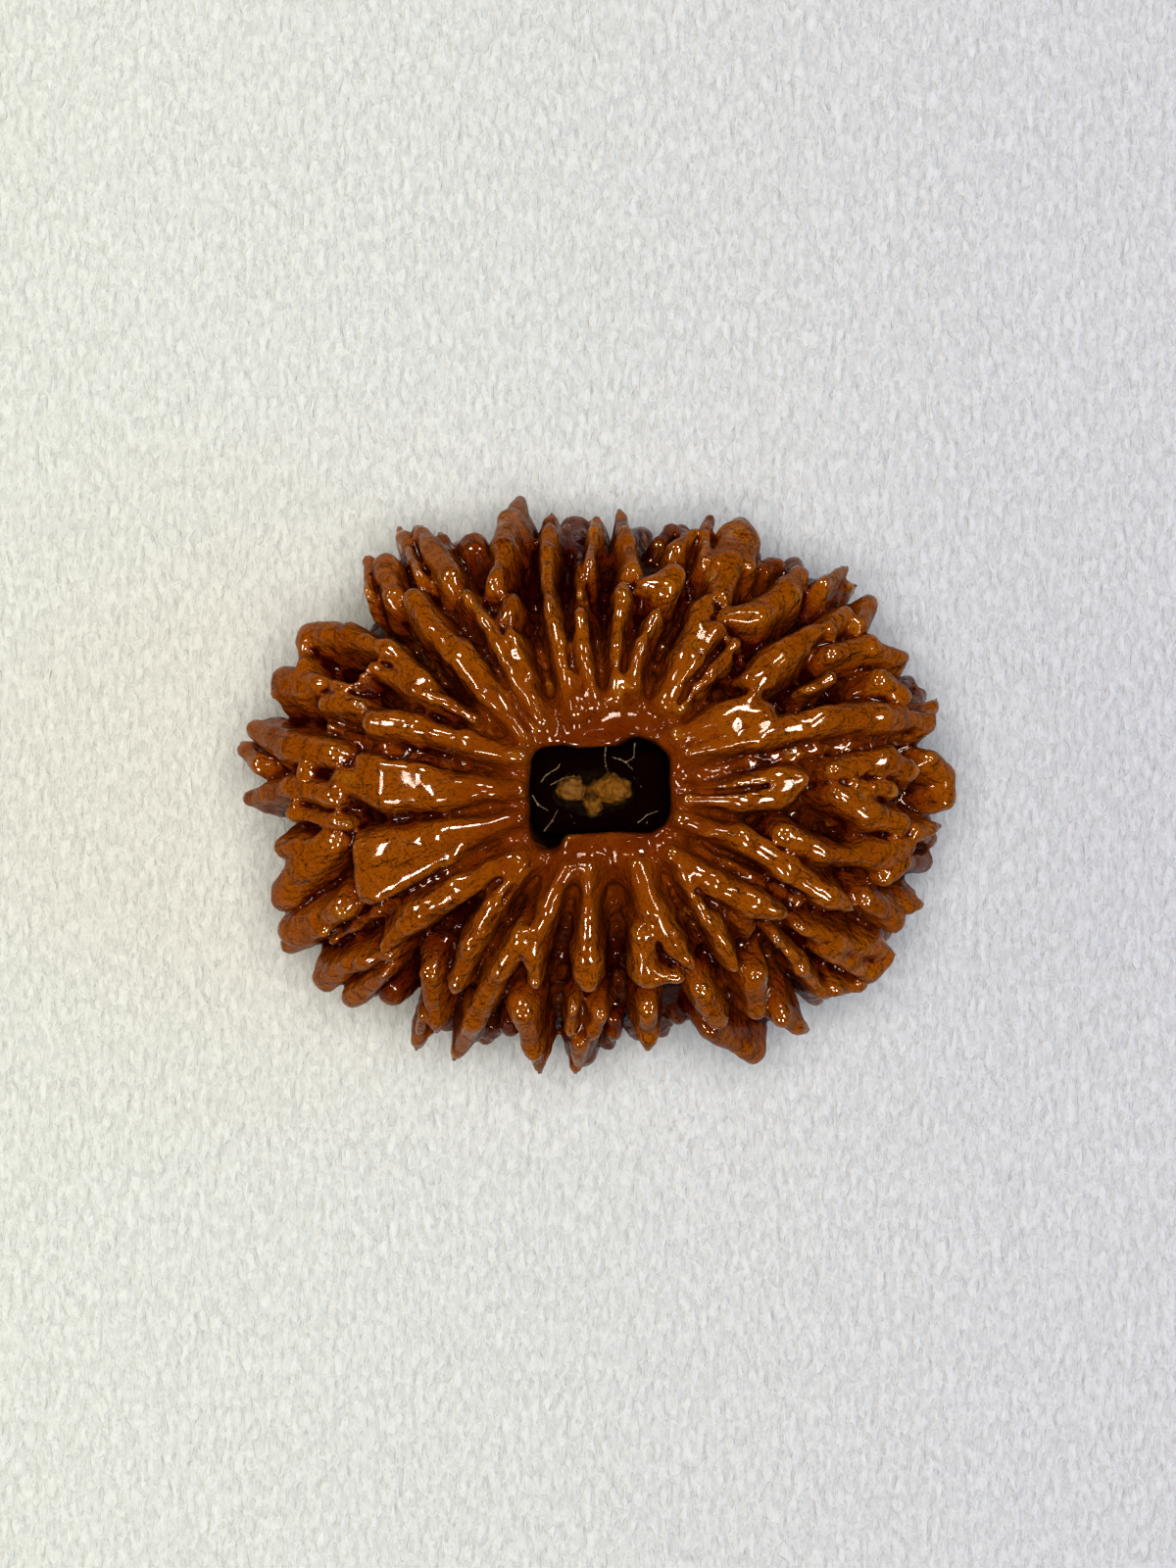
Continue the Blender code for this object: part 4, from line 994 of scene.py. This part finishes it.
PAPER_SIDE = 1.6
TOOTH = (2900.0, 3.0, 0.6, 0.5)
TOOTH_STRETCH = (1.0, 0.45, 1.0)
TOOTH_HEIGHT = 0.00034
TOOTH_SHADE = 0.11
# Paper whites with painted light: warm and lighter towards the left window, cool towards the right
WARM_LAMPLIT_WHITE = (0.885, 0.875, 0.78)
COOL_LAMPLIT_WHITE = (0.775, 0.745, 0.745)


def toothed_paper():
    """Painted light: warmer and lighter towards the left lamp, cooler towards the right, with a tooth drawn
    out along Y.
    """
    finish = Finish("toothed_paper")
    place = finish.node("ShaderNodeTexCoord", {}, {}, out="Object")
    across = finish.node("ShaderNodeSeparateXYZ", {}, {0: place})
    # Painted light: the warm left and cool right lamplight are painted into the paper's colour
    colour = finish.mix(across.between(-0.034, 0.034), (*WARM_LAMPLIT_WHITE, 1.0), (*COOL_LAMPLIT_WHITE, 1.0))
    finish.shader.inputs["Roughness"].default_value = 0.9
    finish.shader.inputs["Specular IOR Level"].default_value = 0.0
    tooth = finish.noise(finish.vector("MULTIPLY", place, TOOTH_STRETCH), *TOOTH)
    colour = finish.mix((1 - tooth.between(0.36, 0.62)) * TOOTH_SHADE, colour, (0.0, 0.0, 0.0, 1.0))
    sockets = {"Base Color": colour, "Normal": finish.bump(tooth, TOOTH_HEIGHT)}
    finish.fill(finish.shader, sockets)
    return finish.material


half = PAPER_SIDE / 2
sheet = bpy.data.meshes.new("paper")
corners = [(-half, -half, 0), (half, -half, 0), (half, half, 0), (-half, half, 0)]
sheet.from_pydata(corners, [], [(0, 1, 2, 3)])
paper = bpy.data.objects.new("paper", sheet)
scene.collection.objects.link(paper)
sheet.materials.append(toothed_paper())


# The light. A pale ceiling lamp lights the bead from above, with a weak warm window on the left and a
# cool one on the right, and none of them is mirrored in the oil. The small lamps that stand in a ring
# round the bead are mirrored, as crisp glints, and light nothing.

BEAD_MIDDLE = Vector((0, 0, -FOOT_LEVEL * MM))
GLINT_DISTANCE = 0.5
GLINT_WATTS_PER_AREA = 320.0
GLINT_COLOUR = (1.0, 0.88, 0.76)


def hang_lamp(name, place, size, watts, colour, mirrored):
    """A lamp turned to the bead. It either makes glints alone or lights it without being mirrored."""
    light = bpy.data.lights.new(name, "AREA")
    light.shape = "RECTANGLE"
    light.size, light.size_y = size
    light.energy = watts
    light.color = colour
    lamp = bpy.data.objects.new(name, light)
    lamp.location = place
    lamp.rotation_euler = (BEAD_MIDDLE - lamp.location).to_track_quat("-Z", "Y").to_euler()
    lamp.visible_glossy = mirrored
    lamp.visible_diffuse = not mirrored
    scene.collection.objects.link(lamp)


def in_ring(bearing, height):
    """A place half a metre from the bead at this bearing from +X and height above it, in degrees."""
    turn, lift = math.radians(bearing), math.radians(height)
    level = GLINT_DISTANCE * math.cos(lift)
    return Vector((level * math.cos(turn), level * math.sin(turn), GLINT_DISTANCE * math.sin(lift)))


# Lamps that light the bead: name, place, side, watts, colour
ROOM_LAMPS = (
    ("ceiling", (0, 0, 1.2), 0.35, 13.7, (1.0, 1.0, 1.0)),
    ("left_window", (-0.4, 0, 0.35), 0.3, 0.25, (1.0, 0.9, 0.6)),
    ("right_window", (0.4, 0, 0.35), 0.3, 0.41, (0.05, 0.5, 1.0)),
)

# Glint lamps: bearing, height, size across and up
GLINT_LAMPS = (
    (180, 48, 0.20, 0.06),
    (0, 48, 0.20, 0.06),
    (125, 44, 0.10, 0.10),
    (55, 48, 0.10, 0.10),
    (-60, 46, 0.10, 0.10),
    (-120, 42, 0.10, 0.10),
    (40, 80, 0.03, 0.03),
)

# The room's own faint light, and how the photograph's tones run
ROOM_COLOUR = (0.97, 0.97, 1.0)
ROOM_STRENGTH = 0.07
PHOTO_GAMMA = 0.87

for name, place, side, watts, colour in ROOM_LAMPS:
    hang_lamp(name, Vector(place), (side, side), watts, colour, False)
for bearing, height, across, up in GLINT_LAMPS:
    watts = GLINT_WATTS_PER_AREA * across * up
    hang_lamp(f"glint_{bearing}", in_ring(bearing, height), (across, up), watts, GLINT_COLOUR, True)

room = bpy.data.worlds.new("pale_room")
room.use_nodes = True
room.node_tree.nodes["Background"].inputs["Color"].default_value = (*ROOM_COLOUR, 1.0)
room.node_tree.nodes["Background"].inputs["Strength"].default_value = ROOM_STRENGTH
scene.world = room
room.cycles_visibility.glossy = False
scene.view_settings.view_transform = "Standard"
scene.view_settings.gamma = PHOTO_GAMMA


# The camera. It looks straight down on the bead from well above, as the photograph was taken.

IMAGE_HIGH = 1600
MM_PER_PIXEL = 0.05
SENSOR = 36.0
LENS = 250.0
AIM = (-0.6, 0.25)

view_high = IMAGE_HIGH * MM_PER_PIXEL * MM
eye = bpy.data.cameras.new("camera")
eye.sensor_width = SENSOR
eye.lens = LENS
eye.clip_end = 20.0
camera = bpy.data.objects.new("camera", eye)
above = -FOOT_LEVEL * MM + view_high * LENS / SENSOR
camera.location = ((AIM[0] - MIDDLE[0]) * MM, (AIM[1] - MIDDLE[1]) * MM, above)
scene.collection.objects.link(camera)
scene.camera = camera
